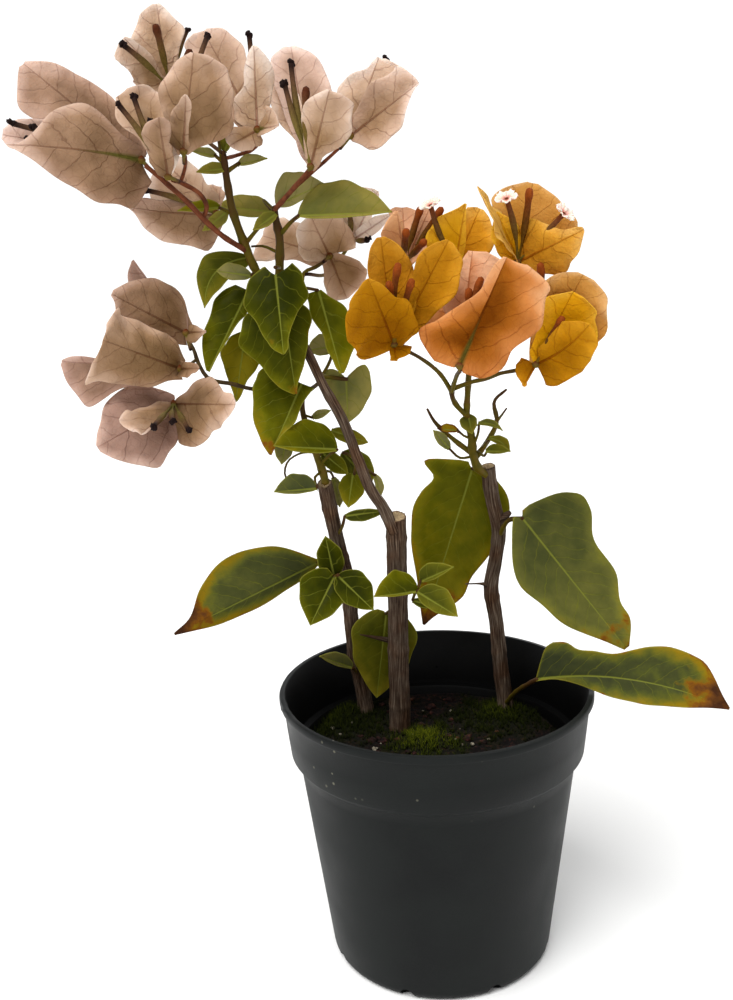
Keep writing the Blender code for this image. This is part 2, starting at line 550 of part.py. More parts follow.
# Bare stalks that carry the sprays: material, what carries them, stems.
STALKS = {
    "stalks_upper_left": ("stalk_red", "shoot_top", [
        [(-66.5, -4, 295.5, 2.2), (-74.5, -11, 301.5, 2), (-80, -14, 307, 2), (-84.5, -16, 312.5, 2),
         (-92, -21, 320.5, 1.8), (-98.5, -21.5, 326.5, 1.6)],
        [(-80.5, -14, 308, 1.6), (-79, -14, 312, 1.6), (-80, -15, 315, 1.6), (-86, -22, 320, 1.6),
         (-88, -30, 321, 1.6)],
        [(-86.5, -22, 320.5, 1.2), (-84, -26, 325.5, 1.2), (-83, -31, 328.5, 1.2)],
    ]),
    "stalk_upper_centre": ("stalk_red", "shoot_top", [
        [(-71.5, -10.5, 328.5, 1.4), (-67.5, -3, 330, 1.4), (-63, -6, 331, 1.4), (-59, -12, 334, 1.3),
         (-59, -14, 335.5, 1.3)],
    ]),
    "stalk_upper_right": ("stalk_red", "shoot_top", [
        [(-55, -7, 310, 2), (-47.5, -13, 317, 1.8), (-41, -19.5, 323, 1.6)],
        [(-47.5, -13, 317, 1.4), (-35, -13.5, 326.5, 1.2), (-28, -16.5, 332, 1.2)],
    ]),
    "stalk_hanging": ("stalk_dark", "cane_middle", [
        [(-41, -8, 246, 1.6), (-49, 4, 240, 1.6), (-56, 7, 238, 1.6), (-64.5, 2, 242, 1.6),
         (-70, -6, 244.5, 1.6), (-74.5, -9, 246.5, 1.6), (-83.5, -11, 249.5, 1.6),
         (-87, -10, 255.5, 1.5), (-88.5, -9, 260.5, 1.4), (-89.5, -8.5, 262.5, 1.2)],
        [(-87.5, -10, 256.5, 1.2), (-91, -13, 254, 1.2)],
        [(-83.5, -11, 249.5, 1.2), (-89.5, -3, 244.5, 1.2), (-96, 0, 240.5, 1.2)],
    ]),
}

# Blooms: heart where the bracts meet, each bract as tip and half widths, the stalk back to what
# carries the bloom, and each flower as head and kind.
BLOOMS = {
    "white_far_left": {
        "colour": "bract_white",
        "heart": (-100, -20, 328.5),
        "bracts": [
            blade((-142.5, -34, 334.5), (7, 15.5, 17, 17.5, 13, 9.5, 4.5, 2, 0.5),
             (1.5, 5.5, 8, 14.5, 18.5, 13.5, 5, 0.5, 0.5), cup=-25, bow=4, lobe=4),
            blade((-144, 2, 365), (3, 5, 5.5, 6.5, 10, 13, 13, 7, 2), (3, 6, 8, 10, 11, 9, 7, 4, 1),
             cup=20),
            blade((-148, -20, 339), (2, 2.5, 3, 3.5, 3.5, 3.5, 4, 4.5, 1.5),
             (0.5, 4.5, 5.5, 6, 6.5, 7.5, 6.5, 5.5, 2), cup=20),
        ],
        "support": "stalks_upper_left",
        "pedicel": [(-96.5, -21.5, 324.5)],
        "flowers": [((-135, -26, 340), "withered"), ((-142.5, -24, 342), "withered"),
         ((-137, -27, 336.5), "withered")],
    },
    "white_top": {
        "colour": "bract_white",
        "heart": (-89.5, -12, 353),
        "bracts": [
            blade((-91.5, -14, 380.5), (2, 4.5, 7, 8.5, 10, 10, 7.5, 5, 1.5),
             (1.5, 3, 4, 5, 7, 8.5, 5.5, 3, 1), cup=20),
            blade((-102.5, -20, 369), (2.5, 5, 7.5, 8.5, 8, 7, 8, 7.5, 3),
             (1, 1.5, 1, 2, 3, 3, 2, 1.5, 0.5), cup=35),
            blade((-101, -18, 355), 3, 8, cup=-20, peak=0.5),
        ],
        "support": "shoot_top",
        "pedicel": [(-80, -10, 337), (-71.5, -11, 329.5)],
        "flowers": [((-101, -30, 365), "withered"), ((-90.5, -26, 371.5), "bud"),
         ((-82, -10, 372.5), "withered"), ((-80.5, -16, 364.5), "bud")],
    },
    "white_left": {
        "colour": "bract_white",
        "heart": (-89, -34, 322),
        "bracts": [
            blade((-88, -50, 339.5), (4, 5, 6, 6, 7, 7.5, 6, 3, 0.5), (0.5, 2, 3, 3, 2, 3, 3.5, 3.5, 2),
             cup=-35),
            blade((-106, -24, 349.5), (0.5, 1.5, 2, 1.5, 1.5, 4, 4, 2, 0.5),
             (1.5, 4, 7, 9.5, 12.5, 14, 12.5, 10.5, 4.5), cup=10),
            blade((-88.5, -22, 342), 4, 3.5, cup=-20, peak=0.5),
        ],
        "support": "stalks_upper_left",
        "pedicel": [(-86.5, -27, 320.5)],
        "flowers": [((-103.5, -34, 345.5), "withered"), ((-99, -30, 348), "withered"),
         ((-92.5, -40, 339.5), "withered")],
    },
    "white_upper": {
        "colour": "bract_white",
        "heart": (-83, -34, 330),
        "bracts": [
            blade((-77, -36, 361), (1.5, 4.5, 6.5, 9, 11, 10.5, 8, 4.5, 1),
             (1, 4.5, 12.5, 15.5, 15.5, 14.5, 13, 10.5, 4.5), cup=-30, lobe=2),
            blade((-79, -48, 346.5), (5.5, 7.5, 7, 6, 5.5, 4.5, 2.5, 1.5, 0.5),
             (0.5, 2, 1.5, 1.5, 1.5, 2, 2, 1.5, 0.5), cup=-30),
            blade((-72, -22, 352.5), 5.5, 5.5, cup=20, peak=0.5),
        ],
        "support": "stalks_upper_left",
        "pedicel": [(-84, -27.5, 326.5)],
        "flowers": [((-74.5, -14, 369.5), "withered")],
    },
    "white_centre": {
        "colour": "bract_white",
        "heart": (-59, -16, 337.5),
        "bracts": [
            blade((-78, 4, 374), (3.5, 5.5, 6.5, 6.5, 6.5, 7, 7.5, 8.5, 4),
             (2, 3.5, 5.5, 7, 8.5, 10, 8.5, 6, 1.5), cup=20),
            blade((-58, -22, 364.5), (2.5, 8, 8.5, 8, 4.5, 4, 3, 2, 0.5),
             (1, 2.5, 4, 5.5, 6.5, 6.5, 5.5, 3, 1), cup=-25),
            blade((-68, -24, 332), (4, 5, 5, 5, 5, 4, 3.5, 2.5, 1),
             (1.5, 2.5, 4, 6, 6.5, 5.5, 4.5, 3.5, 1.5), cup=-30),
            blade((-51, -20, 338.5), (2.5, 4.5, 6, 7, 7, 7, 5.5, 4, 1),
             (3, 2.5, 2.5, 2, 2, 1.5, 1, 0.5, 0.5), cup=20),
        ],
        "support": "stalk_upper_centre",
        "pedicel": [(-59, -12.5, 334)],
        "flowers": [((-60, -14, 369), "withered")],
    },
    "white_right": {
        "colour": "bract_white",
        "heart": (-40.5, -22.5, 324),
        "bracts": [
            blade((-46.5, 4, 367.5), (0.5, 3, 4, 5.5, 7, 8.5, 8.5, 7.5, 3),
             (2, 4.5, 7.5, 10.5, 12.5, 11, 9, 5.5, 1.5), cup=20),
            blade((-54, 0, 356.5), (0.5, 0.5, 0.5, 2, 4, 4.5, 3.5, 2, 0.5),
             (0.5, 2, 4, 5.5, 6, 6.5, 5.5, 5, 2.5), cup=20),
            blade((-32.5, -36, 347.5), (1, 2, 4, 5.5, 7.5, 8, 6, 3, 1),
             (1.5, 3, 3.5, 8.5, 10.5, 10.5, 9.5, 8, 3.5), cup=-25, lobe=2),
        ],
        "support": "stalk_upper_right",
        "pedicel": [(-41.5, -18.5, 322.5)],
        "flowers": [((-45.5, -23, 358), "withered"), ((-48, -25, 351.5), "withered"),
         ((-40.5, -28, 349.5), "bud")],
    },
    "white_far_right": {
        "colour": "bract_white",
        "heart": (-26, -20, 334),
        "bracts": [
            blade((-2.5, -34, 349), (0.5, 3, 5.5, 7.5, 9, 9, 8.5, 7.5, 2),
             (0.5, 4.5, 9.5, 10.5, 10, 7.5, 3.5, 1, 0.5), cup=25, lobe=2),
            blade((-15, -12, 360.5), (1, 3.5, 6, 8.5, 10, 7, 2.5, 1.5, 0.5),
             (1, 2.5, 4, 6, 8.5, 10.5, 11.5, 10.5, 2.5), cup=20),
            blade((-11.5, 4, 350.5), 5, 5, cup=20, peak=0.5),
        ],
        "support": "stalk_upper_right",
        "pedicel": [(-30, -16, 330)],
        "flowers": [((-12.5, -6, 360.5), "withered")],
    },
    "white_low_left": {
        "colour": "bract_white",
        "heart": (-77.5, -1, 309.5),
        "bracts": [
            blade((-108, -10, 313), (3.5, 11.5, 12.5, 12, 11, 9.5, 6.5, 2, 0.5),
             (2, 3.5, 4, 5, 5, 4.5, 4.5, 3, 0.5), cup=-20, sweep=1, lobe=3),
            blade((-96, 2, 329.5), (0.5, 3, 5, 7.5, 11.5, 13.5, 12.5, 9.5, 4),
             (2, 5, 5.5, 5.5, 6.5, 7, 6, 4, 1.5), cup=20),
            blade((-76, 8, 319.5), (1.5, 3.5, 4, 5, 6, 6, 6.5, 6.5, 3),
             (1, 1, 1.5, 1.5, 2, 2.5, 1.5, 0.5, 0.5), cup=20),
        ],
        "support": "shoot_top",
        "pedicel": [(-70.5, -8, 310)],
        "flowers": [((-101, -8, 318.5), "withered")],
    },
    "white_back": {
        "colour": "bract_white",
        "heart": (-36, 12, 292),
        "bracts": [
            blade((-42.5, 4, 307.5), (2, 4, 9.5, 10, 10, 8.5, 7, 4.5, 1),
             (11.5, 12, 12, 12.5, 12, 11, 8.5, 5, 2), cup=-25, lobe=4),
            blade((-30, 4, 276), (1.5, 4, 8, 10.5, 11.5, 10.5, 7.5, 3, 0.5),
             (1.5, 3.5, 4, 5, 6, 6.5, 7, 5, 1), cup=-20, lobe=2),
            blade((-63.5, 34, 300.5), (3.5, 5.5, 6, 6, 7, 8.5, 10, 10.5, 5),
             (2.5, 4, 5.5, 7, 8.5, 9, 9.5, 7, 2.5), cup=20),
        ],
        "support": "shoot_top",
        "pedicel": [(-38.5, 6, 290)],
        "flowers": [],
    },
    "white_behind_leaf": {
        "colour": "bract_white",
        "heart": (-27, 20, 297.5),
        "bracts": [
            blade((-16.5, 12, 315.5), (2.5, 5.5, 8.5, 12, 13, 12.5, 10.5, 6, 2),
             (1.5, 2.5, 3.5, 4, 3, 2, 1.5, 1.5, 0.5), cup=20),
            blade((-11.5, 4, 307), 3, 3, cup=20, peak=0.5),
            blade((-29, 26, 314.5), 5.5, 5.5, cup=20, peak=0.5),
        ],
        "support": "shoot_top",
        "pedicel": [(-35.5, 19, 286.5), (-45.5, -2, 286)],
        "flowers": [((-27.5, 12, 308.5), "withered"), ((-21, 8, 297.5), "withered")],
    },
    "hanging_top": {
        "colour": "bract_white",
        "heart": (-91, -8, 266.5),
        "bracts": [
            blade((-115, -20, 282.5), (4, 5.5, 6.5, 8, 8.5, 8, 6.5, 2, 0.5),
             (2.5, 6, 11, 14, 14, 12, 9, 4.5, 1.5), cup=-30, lobe=3),
            blade((-111, 4, 293.5), (2, 3, 4.5, 5.5, 6.5, 6.5, 6, 3.5, 0.5),
             (1, 4, 5, 4.5, 2.5, 0.5, 0.5, 0.5, 0.5), cup=20),
            blade((-83, -12, 267), (3, 3, 3, 3, 2.5, 1.5, 1, 0.5, 0.5),
             (3, 4, 4, 4, 3.5, 2.5, 1.5, 0.5, 0.5), cup=-20),
        ],
        "support": "stalk_hanging",
        "pedicel": [(-89.5, -9, 260)],
        "flowers": [],
    },
    "hanging_middle": {
        "colour": "bract_white",
        "heart": (-93, -16, 254),
        "bracts": [
            blade((-114.5, -42, 268), (3.5, 5.5, 9.5, 11, 12.5, 13, 14.5, 17, 9),
             (4, 9, 10.5, 11, 11.5, 11.5, 12, 12.5, 6), cup=-30, lobe=3),
            blade((-142.5, 6, 256), (2, 5, 6.5, 8, 11.5, 17.5, 12.5, 6.5, 1.5),
             (2, 2, 1.5, 1, 1.5, 2, 2.5, 2, 0.5), cup=20),
            blade((-84, -30, 255.5), (3, 3, 2.5, 2.5, 2.5, 2, 2, 1.5, 0.5),
             (3, 3.5, 3.5, 3.5, 3.5, 3, 2, 1.5, 0.5), cup=20),
        ],
        "support": "stalk_hanging",
        "pedicel": [(-90, -11.5, 254.5)],
        "flowers": [],
    },
    "hanging_low": {
        "colour": "bract_white",
        "heart": (-98.5, -3, 239),
        "bracts": [
            blade((-126.5, -16, 225.5), (2.5, 6, 12, 15.5, 18, 14.5, 10.5, 6, 2),
             (1.5, 7.5, 12.5, 14.5, 15.5, 13, 8, 4.5, 1), cup=-15, lobe=3),
            blade((-106.5, -30, 232.5), (1, 1.5, 1.5, 2, 1.5, 1.5, 1, 1, 0.5),
             (1.5, 4.5, 6.5, 9, 11, 12, 11, 9.5, 3.5), cup=-25),
            blade((-71.5, -34, 242.5), (0.5, 3, 5.5, 10, 10.5, 7, 4.5, 4, 1.5),
             (13, 15, 17, 16.5, 12, 9.5, 7, 4, 1), cup=-25, lobe=2),
        ],
        "support": "stalk_hanging",
        "pedicel": [(-94, -1, 242)],
        "flowers": [((-95.5, -26, 236), "withered"), ((-90, -26, 232.5), "withered"),
         ((-101.5, -32, 235.5), "withered")],
    },
    "orange_left": {
        "colour": "bract_orange",
        "heart": (-13.5, -32, 261.5),
        "bracts": [
            blade((-22, -58.5, 286), (0.5, 11.5, 14, 14.5, 15, 13.5, 10.5, 8, 3),
             (2, 7.5, 10, 11, 10, 6.5, 4.5, 2.5, 0.5), cup=25, lobe=2),
            blade((-17, -34, 299), (1, 2, 3, 4.5, 5.5, 6, 5.5, 4, 1.5),
             (1, 4, 7, 9.5, 10, 10, 8.5, 5.5, 1.5), cup=25),
            blade((6, -40, 297), (1.5, 2, 3, 3.5, 5, 6, 6.5, 4, 1),
             (2.5, 4, 5.5, 7.5, 9.5, 11, 9.5, 7, 2), cup=20),
            blade((-13, -38, 256.5), (6, 6, 6.5, 6, 5, 4, 2, 0.5, 0.5), (2, 2, 2, 2, 2, 2, 2, 2, 0.5),
             cup=-20),
        ],
        "support": "shoot_right_top",
        "pedicel": [(-10, -28.5, 259)],
        "flowers": [((-11.5, -44, 290), "bud"), ((-15, -47, 284), "bud"), ((-7, -44, 284.5), "bud")],
    },
    "orange_centre": {
        "colour": "bract_peach",
        "heart": (9, -40, 254),
        "bracts": [
            blade((23.5, -58, 291), (1.5, 7.5, 17, 14, 8.5, 4, 3.5, 2.5, 1),
             (2, 7.5, 13.5, 15, 19, 19.5, 18, 15.5, 7), cup=-10, lobe=9),
            blade((15, -32, 293), (0.5, 1, 3, 5, 8, 4.5, 3, 3, 1.5), (0.5, 1, 2.5, 3.5, 5, 7, 9, 10, 5),
             cup=20, fold_left=-20),
            blade((6, -26, 278.5), (0.5, 2, 7.5, 11, 12, 11.5, 8.5, 3.5, 0.5),
             (0.5, 2, 4, 5.5, 7, 8.5, 7.5, 6.5, 3), cup=-10),
        ],
        "support": "shoot_right_top",
        "pedicel": [(10, -30, 250.5)],
        "flowers": [((12.5, -42, 280.5), "bud"), ((17, -41, 284), "bud")],
    },
    "orange_right": {
        "colour": "bract_orange",
        "heart": (36.5, -36, 253),
        "bracts": [
            blade((51.5, -44, 284), (2.5, 4.5, 6, 7.5, 9, 11, 11, 7, 2),
             (5.5, 10, 13.5, 15.5, 16, 15.5, 13, 10, 4), cup=20),
            blade((47.5, -47, 278.5), (0.5, 3.5, 4.5, 5, 6, 7, 7.5, 3.5, 0.5),
             (4.5, 8.5, 12, 14, 15, 14, 11.5, 10, 4.5), cup=20),
            blade((50.5, -60, 268.5), (1.5, 3.5, 5, 6, 7.5, 7.5, 5.5, 3, 0.5),
             (8, 10, 10.5, 10, 10, 9, 7.5, 6, 2.5), cup=-20, sweep=-1.5, lobe=3),
            blade((31.5, -40, 246), (0.5, 0.5, 0.5, 0.5, 0.5, 0.5, 0.5, 1, 0.5),
             (5.5, 5.5, 6, 6, 5.5, 4.5, 3, 1, 0.5), cup=-20),
        ],
        "support": "shoot_right_top",
        "pedicel": [(34, -31.5, 251.5)],
        "flowers": [((44, -47, 270), "bud"), ((37.5, -40, 288), "bud")],
    },
    "orange_top": {
        "colour": "bract_orange",
        "heart": (31.5, -28, 288.5),
        "bracts": [
            blade((38, -20, 315.5), (1, 4.5, 7.5, 10.5, 12.5, 14, 11, 6.5, 2),
             (3.5, 9, 13.5, 17.5, 18, 15.5, 10.5, 6, 2), cup=20),
            blade((50.5, -48, 299), (2, 9, 11.5, 12, 8.5, 4, 2.5, 2, 1),
             (0.5, 5, 7, 8.5, 10.5, 8.5, 6.5, 3.5, 1), cup=-20, lobe=2),
            blade((16.5, -38, 314.5), 7.5, 7.5, turn=62, cup=10, peak=0.5),
            blade((24, -30, 306), 6, 5, cup=20, peak=0.5),
        ],
        "support": "shoot_right_top",
        "pedicel": [(25.5, -24, 284.5), (18, -20, 284)],
        "flowers": [((26, -40, 310), "open"), ((34.5, -36, 313), "bud"), ((45.5, -40, 304.5), "open")],
    },
    "orange_middle_top": {
        "colour": "bract_orange",
        "heart": (10, -20, 288.5),
        "bracts": [
            blade((13, -30, 309), (3, 6.5, 10.5, 12, 11.5, 10, 7, 2.5, 0.5),
             (0.5, 2, 2.5, 2.5, 2, 1.5, 1, 0.5, 0.5), cup=20),
            blade((19.5, -16, 307.5), (1.5, 2, 3, 3.5, 3.5, 4, 4, 4, 1),
             (2.5, 5, 7.5, 9.5, 10.5, 9, 6.5, 4.5, 1.5), cup=20),
            blade((7.5, -12, 302.5), 5, 5, cup=20, peak=0.5),
        ],
        "support": "shoot_right_top",
        "pedicel": [(18, -19.5, 281)],
        "flowers": [((1, -28, 309), "open")],
    },
    "peach_top_left": {
        "colour": "bract_peach",
        "heart": (-8, -18, 289.5),
        "bracts": [
            blade((-11, -30, 307.5), (0.5, 2, 3, 4.5, 6, 7.5, 5.5, 3, 1),
             (1.5, 1.5, 1.5, 2, 2, 1.5, 1.5, 0.5, 0.5), cup=20),
            blade((-8, -8, 309), (0.5, 1.5, 2.5, 3.5, 5, 5, 5, 5, 2.5),
             (2, 3.5, 5.5, 6, 6.5, 6, 5.5, 4.5, 1.5), cup=20),
            blade((1.5, -16, 308.5), (0.5, 0.5, 1.5, 2.5, 3.5, 4, 4.5, 3.5, 1),
             (2.5, 3.5, 4.5, 5, 5.5, 5.5, 5, 4.5, 1.5), cup=20),
        ],
        "support": "shoot_right_top",
        "pedicel": [(-1, -14, 275.5), (10, -12, 263), (16, -13.5, 256.5)],
        "flowers": [((-2, -20, 308.5), "bud"), ((5.5, -20, 308), "bud"), ((-8, -34, 301), "bud"),
         ((-1.5, -30, 297), "bud")],
    },
}


def pot_profile():
    """Outside from the middle of the base up to the lip, then down the inside."""
    neck_top = BAND_BOTTOM - 2.5
    lip_bottom = POT_HEIGHT - LIP_DEPTH
    corner = BASE_ROUND * (1 - math.sqrt(0.5))
    slope = (NECK_RADIUS - BASE_RADIUS) / (neck_top - BASE_ROUND)
    inner_foot = BASE_RADIUS + slope * (4.2 - BASE_ROUND) - WALL
    return [
        (0.0, 0.0),
        (BASE_RADIUS - BASE_ROUND, 0.0),
        (BASE_RADIUS - corner, corner),
        (BASE_RADIUS, BASE_ROUND),
        (NECK_RADIUS, neck_top),
        (BAND_RADIUS, BAND_BOTTOM),
        (RIM_RADIUS - 1.5, lip_bottom),
        (RIM_RADIUS, lip_bottom + 0.4),
        (RIM_RADIUS, POT_HEIGHT - 0.8),
        (RIM_RADIUS - 0.8, POT_HEIGHT),
        (RIM_RADIUS - 2.6, POT_HEIGHT),
        (BAND_RADIUS - WALL, BAND_BOTTOM + 0.8),
        (NECK_RADIUS - WALL, BAND_BOTTOM - 0.6),
        (inner_foot, 4.2),
        (inner_foot - 2.6, 1.6),
        (0.0, 1.6),
    ]


def build_pot():
    """The hollow pot, with drain holes cut slantwise through the edge of its base."""
    pot = lathe("pot", pot_profile(), POT_STEPS, "pot_plastic")
    cutters = []
    for k in range(DRAIN_HOLES):
        angle = 2 * math.pi * (k + 0.5) / DRAIN_HOLES - math.pi / 2 + DRAIN_TURN
        out = Vector((math.cos(angle), math.sin(angle), 0.0))
        foot = out * (BASE_RADIUS + 2.0) + Vector((0, 0, -2.0))
        head = out * (BASE_RADIUS - 8.0) + Vector((0, 0, 8.0))
        path = [(*foot, DRAIN_DIAMETER), (*head, DRAIN_DIAMETER)]
        cutters.append(tube("drain_cutter", path, sides=8))
    boolean(pot, cutters, "DIFFERENCE")
    largest_body(pot)
    pot.data.materials.clear()
    pot.data.materials.append(principled("pot_plastic"))
    pot.data.shade_smooth()
    return pot


def soil_height(x, y):
    """Soil and moss surface: a little higher at the back, with low mounds of moss."""
    height = SOIL_LEVEL + 0.035 * (y + 20.0)
    for mound_x, mound_y, reach, rise in MOSS_MOUNDS:
        gap = math.hypot(x - mound_x, y - mound_y) / reach
        height += rise * math.exp(-gap * gap)
    return height + 0.9 * noise.noise(Vector((x / 9.0, y / 9.0, 3.1)))


def build_soil(canes):
    """One plug filling the pot, its top uneven, with a plain hole for each cane."""
    profile = pot_profile()
    inner_top, inner_foot, floor_edge = profile[12], profile[13], profile[14]
    steps = POT_STEPS
    slope = (inner_top[0] - inner_foot[0]) / (inner_top[1] - inner_foot[1])
    top_radius = inner_foot[0] + slope * (SOIL_LEVEL - 4.0 - inner_foot[1]) - SOIL_GAP
    fractions = (0.3, 0.55, 0.8, 1.0)
    bm = bmesh.new()
    rings = []
    for fraction in fractions:
        ring = []
        for k in range(steps):
            angle = 2 * math.pi * k / steps
            x, y = (top_radius * fraction * math.cos(angle), top_radius * fraction * math.sin(angle))
            ring.append(bm.verts.new((x, y, soil_height(x, y))))
        rings.append(ring)
    lower = ((inner_foot[0] - SOIL_GAP, inner_foot[1]), (floor_edge[0] - SOIL_GAP, floor_edge[1] + SOIL_GAP))
    for radius, height in lower:
        rings.append([bm.verts.new((radius * math.cos(2 * math.pi * k / steps),
                                    radius * math.sin(2 * math.pi * k / steps), height))
                      for k in range(steps)])
    middle = bm.verts.new((0.0, 0.0, soil_height(0.0, 0.0)))
    foot = bm.verts.new((0.0, 0.0, floor_edge[1] + SOIL_GAP))
    for k in range(steps):
        after = (k + 1) % steps
        bm.faces.new((middle, rings[0][k], rings[0][after]))
        bm.faces.new((foot, rings[-1][after], rings[-1][k]))
        for inner, outer in zip(rings, rings[1:]):
            bm.faces.new((inner[k], outer[k], outer[after], inner[after]))
    bmesh.ops.triangulate(bm, faces=bm.faces)
    soil = new_object("soil", bm, "soil")
    holes = []
    for lines in canes.values():
        path = [Vector(point[:3]) for point in lines[0][:3]]
        widths = [point[3] + 2 * CANE_GAP + 0.4 for point in lines[0][:3]]
        path[0] = path[0] + (path[0] - path[1]).normalized() * 0.5
        holes.append(tube("cane_hole", [(*p, w) for p, w in zip(path, widths)], sides=CANE_SIDES))
    boolean(soil, holes, "DIFFERENCE")
    largest_body(soil)
    soil.data.materials.clear()
    soil.data.materials.append(principled("soil"))
    return soil


def build_cane(name, lines):
    """A woody cane; its side branch, thorns and buds are sunk into it."""
    pieces = [tube(name, lines[0], sides=CANE_SIDES, ripple=0.06)]
    for line in lines[1:]:
        sides = STEM_SIDES if line[0][3] > 3.0 else TUBE_SIDES
        pieces.append(tube(name + "_side", line, sides=sides))
    return fuse(name, pieces, "bark")


def flower(name, heart, head, kind):
    """A slender flower tube on its stalk; withered, in bud or open at the end."""
    start = Vector(heart)
    run = Vector(head) - start
    places = {
        "withered": ((0.0, 1.4), (0.4, 1.4), (0.5, 2.6), (0.88, 2.6), (1.0, 1.6)),
        "bud": ((0.0, 1.4), (0.4, 1.4), (0.5, 2.4), (0.90, 2.9), (1.0, 1.2)),
        "open": ((0.0, 1.4), (0.4, 1.4), (0.5, 2.6), (1.0, 2.6)),
    }[kind]
    pieces = [tube(name, [(*(start + run * along), width) for along, width in places], sides=THIN_SIDES)]
    if kind == "open":
        pieces.append(star(name + "_star", Vector(head), run.normalized()))
    return pieces


def star(name, centre, facing):
    """The small open mouth of a flower, five points around its tube."""
    side = facing.orthogonal().normalized()
    across = facing.cross(side)
    bm = bmesh.new()
    layers = []
    for lift in (-BLADE_THICKNESS / 2, BLADE_THICKNESS / 2):
        ring = []
        for k in range(10):
            reach = STAR_RADIUS if k % 2 == 0 else STAR_RADIUS * 0.5
            angle = math.pi * k / 5
            ring.append(bm.verts.new(centre + side * (reach * math.cos(angle))
                                     + across * (reach * math.sin(angle)) + facing * lift))
        layers.append(ring)
    for k in range(10):
        after = (k + 1) % 10
        bm.faces.new((layers[0][k], layers[0][after], layers[1][after], layers[1][k]))
    for layer, lift in zip(layers, (-1, 1)):
        hub = bm.verts.new(centre + facing * (lift * BLADE_THICKNESS / 2))
        for k in range(10):
            bm.faces.new((layer[k], layer[(k + 1) % 10], hub))
    return new_object(name, bm)


def widest(width):
    """Greatest half width on one side of a blade."""
    return max(width) if isinstance(width, tuple) else width


def build_bloom(name, bloom):
    """Bracts and flowers that meet in one small heart, fused into one body."""
    bm = bmesh.new()
    bmesh.ops.create_icosphere(bm, subdivisions=1, radius=1.5,
                               matrix=Matrix.Translation(Vector(bloom["heart"])))
    pieces = [new_object(name, bm)]
    for bract in bloom["bracts"]:
        broad = widest(bract["left"]) + widest(bract["right"]) > BROAD_BRACT
        rows, half = ((2, 2), 2) if broad else ((1, 2), 1)
        pieces.append(blade_solid(name + "_bract", bloom["heart"], bract["tip"], bract["left"],
                                  bract["right"], bract["form"], rows=rows, half=half))
    stalk = [(*point, PEDICEL_DIAMETER) for point in [bloom["heart"]] + bloom["pedicel"]]
    pieces.append(tube(name + "_pedicel", seated(stalk, bloom["support"]), sides=TUBE_SIDES))
    for head, kind in bloom["flowers"]:
        pieces += flower(name + "_flower", bloom["heart"], head, kind)
    return fuse(name, pieces, bloom["colour"])


def build_leafy(name, support, stems, leaves, material="leaf"):
    """Stems, the first one seated on what carries it, with their leaves, fused into one body."""
    pieces = []
    for line in [seated(stems[0][::-1], support)[::-1]] + stems[1:]:
        thick = line[0][3]
        sides = TUBE_SIDES if thick > 2.5 else THIN_SIDES if thick > 1.4 else HAIR_SIDES
        pieces.append(tube(name, line, sides=sides))
    for item in leaves:
        rows, half = ((1, 2), 1)
        if isinstance(item["left"], (list, tuple)):
            rows, half = ((3, 5), 2)
        pieces.append(blade_solid(name + "_leaf", item["base"], item["tip"], item["left"],
                                  item["right"], item["form"], rows=rows, half=half))
    return fuse(name, pieces, material)


def build_plant():
    """Builds what carries before what is carried, since each stem is seated on its support."""
    clear_scene()
    build_pot()
    for name, lines in CANES.items():
        build_cane(name, lines)
    build_soil(CANES)
    for name, (support, stems, leaves) in LEAFY.items():
        build_leafy(name, support, stems, leaves)
    for name, (material, support, stems) in STALKS.items():
        build_leafy(name, support, stems, [], material)
    for name, bloom in BLOOMS.items():
        build_bloom("bloom_" + name, bloom)


build_plant()
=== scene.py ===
"""A potted bougainvillea: three cut-back canes with leafy side shoots and sprays of white, orange and
peach bracts, in a black nursery pot.  Places and sizes are in millimetres from the middle of the pot's
base, +Z up, with the side it is shown from at -Y."""
import math
import random

import bmesh
import bpy
import numpy as np
from mathutils import Matrix, Vector, noise


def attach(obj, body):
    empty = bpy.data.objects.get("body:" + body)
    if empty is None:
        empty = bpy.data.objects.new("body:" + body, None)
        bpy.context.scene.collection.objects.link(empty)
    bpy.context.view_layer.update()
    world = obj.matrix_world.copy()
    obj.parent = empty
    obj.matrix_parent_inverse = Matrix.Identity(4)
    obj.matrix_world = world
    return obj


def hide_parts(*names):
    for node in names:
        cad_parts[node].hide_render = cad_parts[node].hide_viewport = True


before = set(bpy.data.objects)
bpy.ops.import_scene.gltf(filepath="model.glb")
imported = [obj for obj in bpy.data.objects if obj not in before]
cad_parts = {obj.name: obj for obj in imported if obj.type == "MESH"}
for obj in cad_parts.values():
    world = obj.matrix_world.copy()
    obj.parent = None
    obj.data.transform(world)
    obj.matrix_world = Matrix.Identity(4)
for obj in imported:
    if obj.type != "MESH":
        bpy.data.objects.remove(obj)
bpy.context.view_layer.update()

# Studio.  The plant stands on a pale floor in front of a white sweep, under a large soft lamp above and
# in front, with a weaker one behind that shines through the thin bracts.
AIM = Vector((-25.5, 0.0, 196.8))
STAND_OFF = 445.0
LOOK_DOWN = 14.0
TILT = -2.27
FOCAL_PIXELS = 1116.0
PICTURE_HEIGHT = 1000.0
SENSOR = 36.0
NEAREST = 0.02


def linear(code):
    """A hex sRGB colour as linear light."""
    parts = [int(code[i:i + 2], 16) / 255 for i in (1, 3, 5)]
    return (*[c / 12.92 if c <= 0.04045 else ((c + 0.055) / 1.055) ** 2.4 for c in parts], 1.0)


